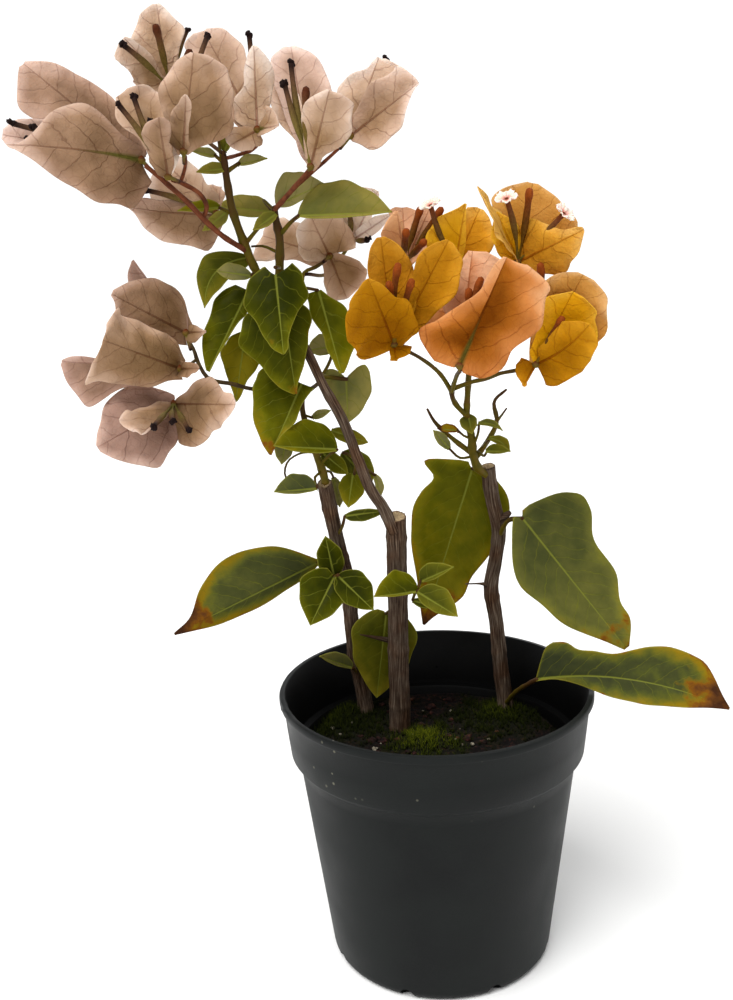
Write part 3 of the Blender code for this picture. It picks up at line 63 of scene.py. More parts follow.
def add(tree, kind, sockets=(), out=0, stops=None, **settings):
    """Adds a shader node with its settings, and links, values or hex colours for its sockets, which are
    named, or in their own order: a MapRange takes its value, then from, from, to and to."""
    node = tree.nodes.new("ShaderNode" + kind)
    for name, value in settings.items():
        setattr(node, name, value)
    for name, value in (sockets if isinstance(sockets, dict) else dict(enumerate(sockets))).items():
        if isinstance(value, bpy.types.NodeSocket):
            tree.links.new(value, node.inputs[name])
        else:
            node.inputs[name].default_value = linear(value) if isinstance(value, str) else value
    if stops:
        band = node.color_ramp.elements
        while len(band) < len(stops):
            band.new(0.5)
        for element, (at, colour) in zip(band, stops):
            element.position = at
            element.color = linear(colour)
    return node.outputs[out]


def surface(name, **values):
    """A named material, its tree and its shader, with the values that are the same all over it."""
    material = bpy.data.materials.new(name)
    material.use_nodes = True
    shader = material.node_tree.nodes["Principled BSDF"]
    for socket, value in values.items():
        shader.inputs[socket.replace("_", " ")].default_value = value
    return material, material.node_tree, shader


def link(shader, **wires):
    """Links what nodes give to a shader's sockets."""
    for socket, value in wires.items():
        shader.id_data.links.new(value, shader.inputs[socket.replace("_", " ")])


camera = bpy.data.objects.new("camera", bpy.data.cameras.new("camera"))
bpy.context.scene.collection.objects.link(camera)
camera.data.sensor_width = SENSOR
camera.data.lens = SENSOR * FOCAL_PIXELS / PICTURE_HEIGHT
camera.data.clip_start = NEAREST
turn = Matrix.Rotation(math.radians(90 - LOOK_DOWN), 4, "X") @ Matrix.Rotation(math.radians(TILT), 4, "Z")
stand = AIM - Vector((0, math.cos(math.radians(LOOK_DOWN)), -math.sin(math.radians(LOOK_DOWN)))) * STAND_OFF
camera.matrix_world = Matrix.Translation(stand / 1000) @ turn
bpy.context.scene.camera = camera
bpy.context.scene.view_settings.view_transform = "Standard"

# White paper sweeps round the plant at eye level and is dimmer overhead, where the lamps hang.
SWEEP = 1.12
OVERHEAD = 0.45
world = bpy.data.worlds.new("soft_studio")
world.use_nodes = True
tree = world.node_tree
up = add(tree, "SeparateXYZ", [add(tree, "TexCoord", out=0)], out=2)
glow = add(tree, "MapRange", [up, 0.22, 0.5, SWEEP, OVERHEAD])
tree.nodes["Background"].inputs["Color"].default_value = (1.0, 1.0, 1.0, 1.0)
link(tree.nodes["Background"], Strength=glow)
bpy.context.scene.world = world

SOFT_SPREAD = 40.0
for label, toward, power in (("overhead_softbox", (-0.34, -0.50, 1.0), 3.0),
                             ("rim_softbox", (0.35, 0.9, 0.8), 0.7)):
    lamp = bpy.data.lights.new(label, "SUN")
    lamp.angle = math.radians(SOFT_SPREAD)
    lamp.energy = power
    holder = bpy.data.objects.new(label, lamp)
    bpy.context.scene.collection.objects.link(holder)
    holder.matrix_world = Vector(toward).to_track_quat("Z", "Y").to_matrix().to_4x4()

FLOOR_RADIUS = 3.0
bm = bmesh.new()
bmesh.ops.create_circle(bm, cap_ends=True, segments=96, radius=FLOOR_RADIUS)
mesh = bpy.data.meshes.new("floor")
bm.to_mesh(mesh)
bm.free()
floor = bpy.data.objects.new("floor", mesh)
bpy.context.scene.collection.objects.link(floor)
# Matt painted board: one even pale tone, a faint mottle that is too soft to draw the eye.
paint, tree, shader = surface("floor_matt_paint", Roughness=0.9)
mottle = add(tree, "TexNoise", {"Scale": 6.0, "Detail": 2.0})
tone = add(tree, "ValToRGB", [mottle], stops=[(0.3, "#f4f4f3"), (0.7, "#f7f7f6")])
link(shader, Base_Color=tone)
mesh.materials.append(paint)

# Pot.  A 13 cm nursery pot, injection moulded in black polypropylene: a tapered wall, a deeper band
# with a small lip at the top, a line where the band meets the wall, and drain holes round the base.
POT_HEIGHT = 116.4
RIM_RADIUS = 65.0
LIP_DEPTH = 3.2
BAND_BOTTOM = 91.5
BAND_RADIUS = 61.2
NECK_RADIUS = 57.9
BASE_RADIUS = 47.2
BASE_ROUND = 3.8
WALL = 1.4
FLOOR_THICK = 1.6
KNEE_HEIGHT = 4.2
KNEE_INSET = 2.6
POT_STEPS = 160
DRAIN_HOLES = 8
DRAIN_DIAMETER = 6.0
DRAIN_TURN = math.radians(1)
DRILL_OUT = 2.0
DRILL_IN = 8.0
CHIP_ANGLE = math.radians(196)
CHIP_SPREAD = 0.16
CHIP_DEPTH = 0.7
OUT_OF_ROUND = 0.12
NECK_TOP = BAND_BOTTOM - 2.5
rng = random.Random(11)


def piece(name, mesh, material, slot, *nodes):
    """Puts a finished mesh in the scene as a piece that stands for CAD nodes."""
    item = bpy.data.objects.new(name, mesh)
    bpy.context.scene.collection.objects.link(item)
    mesh.materials.clear()
    mesh.materials.append(material)
    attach(item, "root")
    if nodes:
        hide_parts(*nodes)
    return item


slope = (NECK_RADIUS - BASE_RADIUS) / (NECK_TOP - BASE_ROUND)
inner_foot = BASE_RADIUS + slope * (KNEE_HEIGHT - BASE_ROUND) - WALL
lip_bottom = POT_HEIGHT - LIP_DEPTH
profile = [(0.0, 0.0), (20.0, 0.0), (BASE_RADIUS - BASE_ROUND, 0.0)]
profile += [(BASE_RADIUS - BASE_ROUND * (1 - math.sin(a)), BASE_ROUND * (1 - math.cos(a)))
            for a in (0.35, 0.8, 1.2)]
profile += [(BASE_RADIUS + slope * (z - BASE_ROUND), z) for z in (BASE_ROUND, 24.0, 48.0, 70.0, 84.0)]
profile += [(NECK_RADIUS, NECK_TOP - 0.5), (NECK_RADIUS + 0.3, NECK_TOP - 0.2),
            (NECK_RADIUS + 0.5, NECK_TOP + 0.2)]
profile += [(BAND_RADIUS - 0.7, BAND_BOTTOM - 0.6), (BAND_RADIUS, BAND_BOTTOM + 0.4),
            (BAND_RADIUS + 1.1, 102.0), (RIM_RADIUS - 1.6, lip_bottom - 0.5),
            (RIM_RADIUS - 1.3, lip_bottom), (RIM_RADIUS - 0.3, lip_bottom + 0.2),
            (RIM_RADIUS, lip_bottom + 0.7), (RIM_RADIUS, POT_HEIGHT - 0.8),
            (RIM_RADIUS - 0.3, POT_HEIGHT - 0.2), (RIM_RADIUS - 0.9, POT_HEIGHT),
            (RIM_RADIUS - 2.1, POT_HEIGHT), (RIM_RADIUS - 2.6, POT_HEIGHT - 0.5),
            (BAND_RADIUS - WALL + 0.4, BAND_BOTTOM + 2.0), (BAND_RADIUS - WALL, BAND_BOTTOM + 0.6),
            (NECK_RADIUS - WALL + 0.5, BAND_BOTTOM), (NECK_RADIUS - WALL, BAND_BOTTOM - 0.8)]
profile += [(inner_foot + slope * (z - KNEE_HEIGHT), z) for z in (60.0, 30.0, KNEE_HEIGHT)]
profile += [(inner_foot - KNEE_INSET, FLOOR_THICK), (0.0, FLOOR_THICK)]
bm = bmesh.new()
verts = [bm.verts.new((radius, 0.0, height)) for radius, height in profile]
edges = [bm.edges.new(pair) for pair in zip(verts, verts[1:])]
bmesh.ops.spin(bm, geom=verts + edges, cent=(0, 0, 0), axis=(0, 0, 1), angle=2 * math.pi,
               steps=POT_STEPS, use_merge=True)
bmesh.ops.remove_doubles(bm, verts=bm.verts, dist=0.001)
for vert in bm.verts:
    around = math.atan2(vert.co.y, vert.co.x) % (2 * math.pi)
    if vert.co.z > lip_bottom - 1.0:
        worn = math.exp(-((around - CHIP_ANGLE) / CHIP_SPREAD) ** 2)
        bite = worn * (0.5 + noise.noise(Vector((around * 40, vert.co.z, 1.0))))
        reach = Vector((vert.co.x, vert.co.y, 0.0)).normalized()
        vert.co -= reach * CHIP_DEPTH * bite + Vector((0, 0, 0.5 * bite))
    if vert.co.z > 8.0:
        warp = OUT_OF_ROUND * math.sin(3 * around + 0.7) * vert.co.z / POT_HEIGHT
        vert.co += Vector((math.cos(around), math.sin(around), 0)) * warp
bmesh.ops.recalc_face_normals(bm, faces=bm.faces)
bmesh.ops.scale(bm, vec=(0.001,) * 3, verts=bm.verts)
mesh = bpy.data.meshes.new("nursery_pot")
bm.to_mesh(mesh)
bm.free()
body = bpy.data.objects.new("nursery_pot_blank", mesh)
bpy.context.scene.collection.objects.link(body)
bm = bmesh.new()
for k in range(DRAIN_HOLES):
    angle = 2 * math.pi * (k + 0.5) / DRAIN_HOLES - math.pi / 2 + DRAIN_TURN
    out = Vector((math.cos(angle), math.sin(angle), 0.0))
    foot = out * (BASE_RADIUS + DRILL_OUT) + Vector((0, 0, -DRILL_OUT))
    head = out * (BASE_RADIUS - DRILL_IN) + Vector((0, 0, DRILL_IN))
    slant = (head - foot).to_track_quat("Z", "Y").to_matrix().to_4x4()
    place = Matrix.Translation((foot + head) / 2) @ slant
    bmesh.ops.create_cone(bm, cap_ends=True, segments=24, radius1=DRAIN_DIAMETER / 2,
                          radius2=DRAIN_DIAMETER / 2, depth=(head - foot).length, matrix=place)
bmesh.ops.scale(bm, vec=(0.001,) * 3, verts=bm.verts)
holes = bpy.data.objects.new("drain_cutter", bpy.data.meshes.new("drain_cutter"))
bm.to_mesh(holes.data)
bm.free()
bpy.context.scene.collection.objects.link(holes)
cut = body.modifiers.new("drain", "BOOLEAN")
cut.operation, cut.solver, cut.object = "DIFFERENCE", "EXACT", holes
bpy.context.view_layer.update()
mesh = bpy.data.meshes.new_from_object(body.evaluated_get(bpy.context.evaluated_depsgraph_get()))
bpy.data.objects.remove(body)
bpy.data.objects.remove(holes)
mesh.shade_smooth()
mesh.set_sharp_from_angle(angle=math.radians(40))

# Moulded polypropylene: near black with a green-grey cast, a soft sheen that breaks up where the mould was
# grained (about 0.7 mm, coarser than real so that it shows), painted near-black shade on the inner wall and
# on the ledge and floor inside, and a few pale specks of dried compost on the band.
pp, tree, shader = surface("polypropylene_moulded", Specular_IOR_Level=0.12, IOR=1.49)
space = add(tree, "TexCoord", out=3)
normal = add(tree, "TexCoord", out=1)
grain = add(tree, "TexNoise", {"Vector": space, "Scale": 1400.0, "Detail": 2.0})
cloud = add(tree, "TexNoise", {"Vector": space, "Scale": 38.0, "Detail": 4.0})
tone = add(tree, "ValToRGB", [cloud], stops=[(0.3, "#0f1111"), (0.75, "#171a19")])
fleck = add(tree, "TexVoronoi", {"Vector": space, "Scale": 210.0})
few = add(tree, "TexNoise", {"Vector": space, "Scale": 60.0, "Detail": 1.0})
height = add(tree, "SeparateXYZ", [space], out=2)
band = add(tree, "MapRange", [height, 0.078, 0.098])
spot = add(tree, "MapRange", [fleck, 0.15, 0.09])
rare = add(tree, "MapRange", [few, 0.58, 0.66])
dust = add(tree, "Math", [spot, rare], operation="MULTIPLY")
dust = add(tree, "Math", [dust, band], operation="MULTIPLY")
# Painted shade: the inward-facing wall, and the upward-facing ledge and floor below the rim, are mixed to
# near black where shade falls inside the pot.
radial = add(tree, "VectorMath", [space, (1.0, 1.0, 0.0)], operation="MULTIPLY")
radial = add(tree, "VectorMath", [radial], operation="NORMALIZE")
facing = add(tree, "VectorMath", [radial, normal], out=1, operation="DOT_PRODUCT")
inside = add(tree, "MapRange", [facing, -0.5, -0.9])
upward = add(tree, "SeparateXYZ", [normal], out=2)
ledge_shade = add(tree, "MapRange", [upward, 0.3, 0.7, 0.0, 0.93])
below = add(tree, "MapRange", [height, 0.112, 0.110])
inside = add(tree, "Math", [ledge_shade, below, inside], operation="MULTIPLY_ADD", use_clamp=True)
coat = add(tree, "Mix", {0: dust, 6: tone, 7: "#6c6a5c"}, out=2, data_type="RGBA")
coat = add(tree, "Mix", {0: inside, 6: coat, 7: "#020202"}, out=2, data_type="RGBA")
matt = add(tree, "MapRange", [cloud, 0.3, 0.7, 0.42, 0.56])
matt = add(tree, "Math", [matt, dust], operation="MAXIMUM")
raised = add(tree, "Math", [grain, dust], operation="ADD")
bump = add(tree, "Bump", {"Height": raised, "Strength": 0.12, "Distance": 0.0004})
link(shader, Base_Color=coat, Roughness=matt, Normal=bump)
piece("nursery_pot", mesh, pp, "pot_plastic", "pot")

# Soil and moss.  Dark peat compost with white perlite and chips of bark fills the pot to about 31 mm
# below the rim.  It was firmed round the canes by hand, and low mounds of moss have grown on it.
SOIL_LEVEL = 85.5
SOIL_GAP = 0.35
BACK_RISE = 0.035
CRUMB, FINE_CRUMB = 2.6, 1.1
MOSS_MOUNDS = ((-4.5, 5.5, 9, 4), (-39, 34.5, 12, 2.5), (30.5, 30, 12, 2.5), (-59, 26, 10, 1.5))
MOSS_SPREAD = 1.7
SOIL_STEPS = 150
SOIL_RINGS = 46


def inner_wall(height):
    """The radius of the pot's inside at a height."""
    return inner_foot + slope * (height - KNEE_HEIGHT)


def soil_height(x, y):
    """The compost's surface: a little higher at the back, with the low mounds of moss."""
    height = SOIL_LEVEL + BACK_RISE * (y + 20.0)
    for mound_x, mound_y, reach, rise in MOSS_MOUNDS:
        gap = math.hypot(x - mound_x, y - mound_y) / reach
        height += rise * math.exp(-gap * gap)
    return height + 0.9 * noise.noise(Vector((x / 9.0, y / 9.0, 3.1)))


def mossy(x, y):
    """How thickly moss covers a place, from 0 to 1."""
    cover = -0.02 + 0.5 * noise.noise(Vector((x / 7.0, y / 7.0, 9.0)))
    for mound_x, mound_y, reach, _ in MOSS_MOUNDS:
        gap = math.hypot(x - mound_x, y - mound_y) / (MOSS_SPREAD * reach)
        cover += math.exp(-gap * gap)
    return min(max(cover, 0.0), 1.0)


def make_mesh(name, verts, faces, marks):
    """A smooth mesh from points in millimetres, with named values for its material at each point."""
    mesh = bpy.data.meshes.new(name)
    mesh.from_pydata((np.asarray(verts, float) / 1000).tolist(), [], faces)
    for label, values in marks.items():
        kind = "FLOAT_VECTOR" if np.ndim(values) == 2 else "FLOAT"
        made = mesh.attributes.new(label, kind, "POINT")
        made.data.foreach_set("vector" if kind == "FLOAT_VECTOR" else "value",
                              np.asarray(values, np.float32).ravel())
    mesh.shade_smooth()
    mesh.update()
    return mesh


verts, cover, rings = [], [], []
edge_radius = inner_wall(SOIL_LEVEL - 2.0) - SOIL_GAP
for ring in range(1, SOIL_RINGS + 1):
    rings.append(len(verts))
    for k in range(SOIL_STEPS):
        angle = 2 * math.pi * (k + 0.5 * (ring % 2)) / SOIL_STEPS
        radius = edge_radius * (ring / SOIL_RINGS) ** 0.9
        x, y = radius * math.cos(angle), radius * math.sin(angle)
        crumb = noise.noise(Vector((x / CRUMB, y / CRUMB, 0.0)))
        crumb += 0.6 * noise.noise(Vector((x / FINE_CRUMB, y / FINE_CRUMB, 5.0)))
        moss = mossy(x, y)
        settle = 1.0 if ring < SOIL_RINGS - 1 else 0.3
        verts.append((x, y, soil_height(x, y) + settle * crumb * (1.1 - 0.6 * moss)))
        cover.append(moss)
soil_foot = FLOOR_THICK + SOIL_GAP
for height, radius in ((40.0, inner_wall(40.0)), (KNEE_HEIGHT, inner_foot),
                       (soil_foot, inner_foot - KNEE_INSET)):
    rings.append(len(verts))
    for k in range(SOIL_STEPS):
        angle = 2 * math.pi * k / SOIL_STEPS
        verts.append(((radius - SOIL_GAP) * math.cos(angle), (radius - SOIL_GAP) * math.sin(angle), height))
        cover.append(0.0)
verts += [(0.0, 0.0, soil_height(0, 0)), (0.0, 0.0, soil_foot)]
cover += [0.0, 0.0]
faces = []
for k in range(SOIL_STEPS):
    after = (k + 1) % SOIL_STEPS
    faces.append((len(verts) - 2, rings[0] + k, rings[0] + after))
    faces.append((len(verts) - 1, rings[-1] + after, rings[-1] + k))
    for low, high in zip(rings, rings[1:]):
        faces.append((low + k, high + k, high + after, low + after))
# Peat compost: almost black and wet between fibres, brown on the crumbs that have dried, and stained
# green where the moss takes hold.  Crumbs are 1 to 3 mm.
peat, tree, shader = surface("peat_compost", Roughness=0.95, Specular_IOR_Level=0.15)
space = add(tree, "TexCoord", out=3)
crumbs = add(tree, "TexNoise", {"Vector": space, "Scale": 620.0, "Detail": 5.0, "Roughness": 0.7})
tone = add(tree, "ValToRGB", [crumbs], stops=[(0.30, "#040302"), (0.52, "#0d0706"), (0.74, "#3a2018")])
green = add(tree, "ValToRGB", [crumbs], stops=[(0.3, "#060802"), (0.75, "#1c2206")])
grown = add(tree, "Attribute", out=2, attribute_name="cover")
coat = add(tree, "Mix", {0: grown, 6: tone, 7: green}, out=2, data_type="RGBA")
bump = add(tree, "Bump", {"Height": crumbs, "Strength": 0.8, "Distance": 0.0012})
link(shader, Base_Color=coat, Normal=bump)
piece("compost", make_mesh("compost", verts, faces, {"cover": cover}), peat, "soil", "soil")

# Moss stems: short upright shoots set with pointed leaves, drawn as thin three-sided spikes 1 to 5 mm
# long that lean apart, thickest on the mounds.
MOSS_TRIES = 11500
MOSS_TUFT = 3
MOSS_STEM = 0.2
MOSS_TALL = (1.8, 5.4)
MOSS_LEAN = 0.6
MOSS_LIGHT = ((2.0, 1.0), (1.3, 0.35), (1.15, 0.62), (1.3, 0.5))
verts, faces, fresh = [], [], []
for _ in range(MOSS_TRIES):
    radius = edge_radius * math.sqrt(rng.random()) * 0.985
    angle = rng.uniform(0, 2 * math.pi)
    x, y = radius * math.cos(angle), radius * math.sin(angle)
    here = mossy(x, y)
    if rng.random() > here ** 1.3:
        continue
    bright = 0.0
    for (mound_x, mound_y, reach, _), (spread, light) in zip(MOSS_MOUNDS, MOSS_LIGHT):
        bright += light * math.exp(-(math.hypot(x - mound_x, y - mound_y) / (spread * reach)) ** 2)
    root = Vector((x, y, soil_height(x, y) - 0.4))
    for _ in range(MOSS_TUFT):
        lean = Vector((rng.uniform(-MOSS_LEAN, MOSS_LEAN), rng.uniform(-MOSS_LEAN, MOSS_LEAN), 1.0))
        lean.normalize()
        tall = rng.uniform(*MOSS_TALL) * (0.45 + 0.55 * here)
        side = lean.orthogonal().normalized()
        across = lean.cross(side)
        first = len(verts)
        for turn in (0.0, 2.1, 4.2):
            verts.append(tuple(root + (side * math.cos(turn) + across * math.sin(turn)) * MOSS_STEM))
        verts.append(tuple(root + lean * tall))
        faces += [(first, first + 1, first + 3), (first + 1, first + 2, first + 3),
                  (first + 2, first, first + 3), (first, first + 2, first + 1)]
        young = min(max(0.26 + 0.68 * bright + rng.uniform(-0.24, 0.24), 0.0), 1.0)
        fresh += [0.1 * young] * 3 + [young]
# Living moss: deep green in the cushion and yellow-green at the growing tips.
moss, tree, shader = surface("living_moss", Roughness=0.8, Specular_IOR_Level=0.05)
young = add(tree, "Attribute", out=2, attribute_name="fresh")
tone = add(tree, "ValToRGB", [young], stops=[
    (0.0, "#060801"), (0.4, "#1e2404"), (0.75, "#4a5208"), (1.0, "#7a780e")])
link(shader, Base_Color=tone)
piece("moss_cushions", make_mesh("moss_cushions", verts, faces, {"fresh": fresh}), moss, "leaf")


def lump(verts, faces, centre, radius, flat, rough):
    """Adds an uneven grain to a list of points and faces."""
    grain = bmesh.new()
    bmesh.ops.create_icosphere(grain, subdivisions=2, radius=1.0)
    shift = Vector((rng.uniform(0, 50), rng.uniform(0, 50), rng.uniform(0, 50)))
    first = len(verts)
    for vert in grain.verts:
        swell = radius * (1 + rough * noise.noise(vert.co * 1.3 + shift))
        verts.append((centre[0] + vert.co.x * swell, centre[1] + vert.co.y * swell,
                      centre[2] + vert.co.z * swell * flat))
    faces += [tuple(first + vert.index for vert in face.verts) for face in grain.faces]
    grain.free()


# Grains that show in front, by place and size, and a few more strewn at the back.
GRAINS = [(-44.5, 22, 1), (-41, 17.5, 0.6), (-36, 26, 0.6), (-26, 3, 1.3), (-20.5, -2, 0.9),
          (-23.5, 9, 0.5), (15.5, 4, 1), (23, 8, 0.7), (8.5, 8.5, 0.6), (56, 22, 0.8)]
GRAINS += [(rng.uniform(-38, 38), rng.uniform(2, 40), rng.uniform(0.35, 0.8)) for _ in range(8)]
verts, faces = [], []
for x, y, size in GRAINS:
    lump(verts, faces, (x, y, soil_height(x, y) + 0.5 * size), size, flat=0.6, rough=0.5)
# Expanded perlite: chalk-white glass foam, matt and pitted, a little stained by the peat.
foam, tree, shader = surface("perlite", Roughness=0.95)
pits = add(tree, "TexNoise", {"Vector": add(tree, "TexCoord", out=3), "Scale": 1500.0, "Detail": 3.0})
tone = add(tree, "ValToRGB", [pits], stops=[(0.35, "#4a4234"), (0.6, "#948c7a")])
bump = add(tree, "Bump", {"Height": pits, "Strength": 0.5, "Distance": 0.0003})
link(shader, Base_Color=tone, Normal=bump)
piece("perlite_grains", make_mesh("perlite_grains", verts, faces, {}), foam, "soil")

# Bark chips, strewn where the moss leaves the compost bare.
CHIPS = 150
STREWN = 50.0
CHIP_SIZES = (0.5, 1.9)
verts, faces = [], []
for _ in range(CHIPS):
    radius, angle = STREWN * math.sqrt(rng.random()), rng.uniform(0, 2 * math.pi)
    x, y = radius * math.cos(angle), radius * math.sin(angle)
    if mossy(x, y) > 0.5:
        continue
    size = rng.uniform(*CHIP_SIZES)
    lump(verts, faces, (x, y, soil_height(x, y) + 0.3 * size), size, flat=0.4, rough=0.9)
# Composted bark: flat red-brown chips 1 to 4 mm wide, damp, lighter where they have dried.
chip, tree, shader = surface("composted_bark", Roughness=0.8, Specular_IOR_Level=0.15)
worn = add(tree, "TexNoise", {"Vector": add(tree, "TexCoord", out=3), "Scale": 260.0, "Detail": 3.0})
tone = add(tree, "ValToRGB", [worn], stops=[(0.35, "#120806"), (0.55, "#2c1410"), (0.72, "#5a3626")])
link(shader, Base_Color=tone)
piece("bark_chips", make_mesh("bark_chips", verts, faces, {}), chip, "soil")

# Canes.  Three woody stems of old growth, cut back with pruners: ridged grey-brown bark, pale dry wood
# at the cuts, leaf scars that ring them, a few thorns and one side branch.  Each line of a cane runs
# through points (x, y, z) with its thickness there.
CANES = {
    "cane_left": [
        [(-27, 36, 48, 6.8), (-29.5, 38, 90, 6.8), (-33.5, 34, 120, 6.4), (-34.5, 28, 141.5, 6.2),
         (-35, 23, 156, 6), (-37.5, 17, 171, 6), (-39.5, 10, 185.5, 6), (-42, 2, 204, 5.8)],
    ],
    "cane_middle": [
        [(-14, 21, 48, 9.4), (-14.5, 22, 87, 9.4), (-14.5, 19, 106.5, 9), (-14.5, 16, 126, 8.6),
         (-14, 12, 150, 8.4), (-14, 7, 171.5, 8.2), (-14, 2, 189, 8.2)],
        [(-15, 1, 183, 5), (-19.5, -3, 195, 4.6), (-23, -5, 201, 4.4), (-28, -7, 214.5, 4.2),
         (-33.5, -8, 231, 4), (-40.5, -8, 245, 3.6), (-45, -6, 255.5, 3.6), (-52, -3, 268, 3.4)],
        [(-18.5, 17, 130.5, 2.6), (-23.5, 15, 132.5, 1.6), (-30.5, 13, 135, 0.5)],
    ],
    "cane_right": [
        [(25, 32, 48, 7.2), (33.5, 35, 89.5, 7.2), (31.5, 33, 108, 6.6), (29.5, 31, 130.5, 6.2),
         (27, 28, 149.5, 6), (29, 25, 164, 5.8), (30, 23, 175, 5.8), (27, 20, 190.5, 5.8),
         (25, 17, 205, 5.6)],
        [(27, 28, 149.5, 4.4), (23.5, 26, 151, 1.6), (15.5, 24, 152, 0.5)],
        [(29.5, 23, 177.5, 4), (32, 20, 182, 3.6), (34, 18, 184.5, 2)],
    ],
}
SCAR_SPACING = 27
SCAR_WIDTH = 1.6
SCAR_SWELL = 0.0875
THINNEST = 0.15


def smooth_through(run, given, at):
    """Values at places along a smooth curve that passes through the given ones."""
    lean = np.gradient(given, run, axis=0)
    k = np.clip(np.searchsorted(run, at, side="right") - 1, 0, len(run) - 2)
    gap = run[k + 1] - run[k]
    s = (at - run[k]) / gap
    if given.ndim == 2:
        gap, s = gap[:, None], s[:, None]
    return ((1 + 2 * s) * (1 - s) ** 2 * given[k] + s * (1 - s) ** 2 * gap * lean[k]
            + s * s * (3 - 2 * s) * given[k + 1] + s * s * (s - 1) * gap * lean[k + 1])


def thin_line(path, step):
    """Points and diameters along a smooth curve through a stem's points, about step apart."""
    given = np.array(path, float)
    if len(given) == 2:
        given = np.array([given[0], (given[0] + given[1]) / 2, given[1]])
    run = np.concatenate([[0], np.cumsum(np.linalg.norm(np.diff(given[:, :3], axis=0), axis=1))])
    at = np.linspace(0, run[-1], max(4, int(run[-1] / step) + 1))
    made = smooth_through(run, given, at)
    return made[:, :3], np.maximum(made[:, 3], THINNEST), at


def rings_along(centre):
    """Two directions square to a curve at each of its points, carried along without twist."""
    forward = np.gradient(centre, axis=0)
    forward /= np.linalg.norm(forward, axis=1)[:, None]
    side = np.array(Vector(forward[0]).orthogonal().normalized())
    sides = []
    for heading in forward:
        side = side - heading * (side @ heading)
        side /= np.linalg.norm(side)
        sides.append(side)
    sides = np.array(sides)
    return forward, sides, np.cross(forward, sides)


def stem(path, sides=10, step=2.0, swell=0.0, bark=0.0, cut=False, tone=0.5):
    """A closed round stem with rounded ends, or with bark ridges and a rough sawn end."""
    centre, width, at = thin_line(path, step)
    forward, side, across = rings_along(centre)
    seed = rng.uniform(0, 100)
    angle = np.linspace(0, 2 * np.pi, sides, endpoint=False)
    cosine, sine = np.cos(angle), np.sin(angle)
    rows = []
    for i in range(len(centre)):
        reach = np.full(sides, width[i] / 2)
        if swell:
            reach = reach * (1 + swell * math.sin(at[i] / 3.1 + seed) ** 8)
        if bark:
            ridge = [noise.noise(Vector((c * 3.4 + seed, s * 3.4, at[i] / 16)))
                     + 0.6 * noise.noise(Vector((c * 8 + seed, s * 8, at[i] / 7)))
                     + 0.35 * noise.noise(Vector((c * 17 + seed, s * 17, at[i] / 3)))
                     for c, s in zip(cosine, sine)]
            scar = math.exp(-(((at[i] + seed) % SCAR_SPACING - SCAR_SPACING // 2) / SCAR_WIDTH) ** 2)
            reach = reach * (1 + SCAR_SWELL * scar) + bark * np.array(ridge)
        rows.append(centre[i] + np.outer(reach * cosine, side[i]) + np.outer(reach * sine, across[i]))
    low_end = [centre[0] - forward[0] * width[0] * 0.12 * lift
               + (rows[0] - centre[0]) * (1 - lift) for lift in (0.9, 0.5)]
    place = [np.stack([np.full(sides, a), angle * w / 2, np.full(sides, seed)], 1)
             for a, w in zip(at, width)]
    share = [np.stack([np.full(sides, a / at[-1]), np.zeros(sides), np.zeros(sides)], 1) for a in at]
    last = rows[-1]
    if cut:
        lean = np.array([noise.noise(Vector((c * 2 + seed, s * 2, 0))) for c, s in zip(cosine, sine)])
        for inset in (1.0, 0.97, 0.75, 0.5, 0.25):
            jag = np.array([noise.noise(Vector((c * inset * 4 + seed, s * inset * 4, 3)))
                            for c, s in zip(cosine, sine)])
            rows.append(centre[-1] + (last - centre[-1]) * inset
                        + np.outer((1 - inset) * 0.1 + 0.9 * lean * inset + 0.5 * jag, forward[-1]))
            place.append(place[-1])
            share.append(np.stack([np.ones(sides), np.ones(sides), np.full(sides, inset)], 1))
    else:
        for lift in (0.5, 0.9):
            dome = forward[-1] * width[-1] * 0.3 * lift
            rows.append(centre[-1] + dome + (last - centre[-1]) * (1 - lift))
            place.append(place[-1])
            share.append(share[-1])
    rows = low_end + rows
    place = [place[0]] * 2 + place
    share = [share[0]] * 2 + share
    faces = []
    for i in range(len(rows) - 1):
        for k in range(sides):
            a, b = i * sides + k, i * sides + (k + 1) % sides
            faces.append((a, b, b + sides, a + sides))
    faces.append(tuple(range(sides))[::-1])
    faces.append(tuple((len(rows) - 1) * sides + k for k in range(sides)))
    count = len(rows) * sides
    return {"verts": np.concatenate(rows), "faces": faces, "place": np.concatenate(place),
            "share": np.concatenate(share), "tint": np.tile([tone, 0.0, 0.0], (count, 1))}


def fused(name, parts, material, slot, node):
    """One piece from several parts, keeping what each says about its own surface."""
    faces, start = [], 0
    for part in parts:
        faces += [tuple(index + start for index in face) for face in part["faces"]]
        start += len(part["verts"])
    marks = {label: np.concatenate([part[label] for part in parts]) for label in ("place", "share", "tint")}
    mesh = make_mesh(name, np.concatenate([part["verts"] for part in parts]), faces, marks)
    piece(name, mesh, material, slot, node)


# Old bougainvillea bark: grey-brown, split lengthwise into narrow ridges about 1 mm apart with darker
# red-brown in the furrows; the cut end is straw-coloured wood with a brown ring of bark.
bark, tree, shader = surface("cane_bark", Roughness=0.85, Specular_IOR_Level=0.1)
place = add(tree, "Attribute", out=1, attribute_name="place")
share = add(tree, "Attribute", out=1, attribute_name="share")
stretch = add(tree, "Mapping", {"Vector": place, "Scale": (0.045, 1.0, 1.0)})
ridge = add(tree, "TexNoise", {"Vector": stretch, "Scale": 1.8, "Detail": 6.0, "Roughness": 0.68})
patch = add(tree, "TexNoise", {"Vector": place, "Scale": 0.11, "Detail": 3.0})
furrow = add(tree, "ValToRGB", [ridge], stops=[
    (0.34, "#281c15"), (0.47, "#493a2e"), (0.58, "#66574a"), (0.72, "#948471")])
age = add(tree, "MapRange", [patch, 0.4, 0.65])
coat = add(tree, "Mix", {0: age, 6: furrow, 7: "#a89484"}, out=2, data_type="RGBA",
           blend_type="OVERLAY")
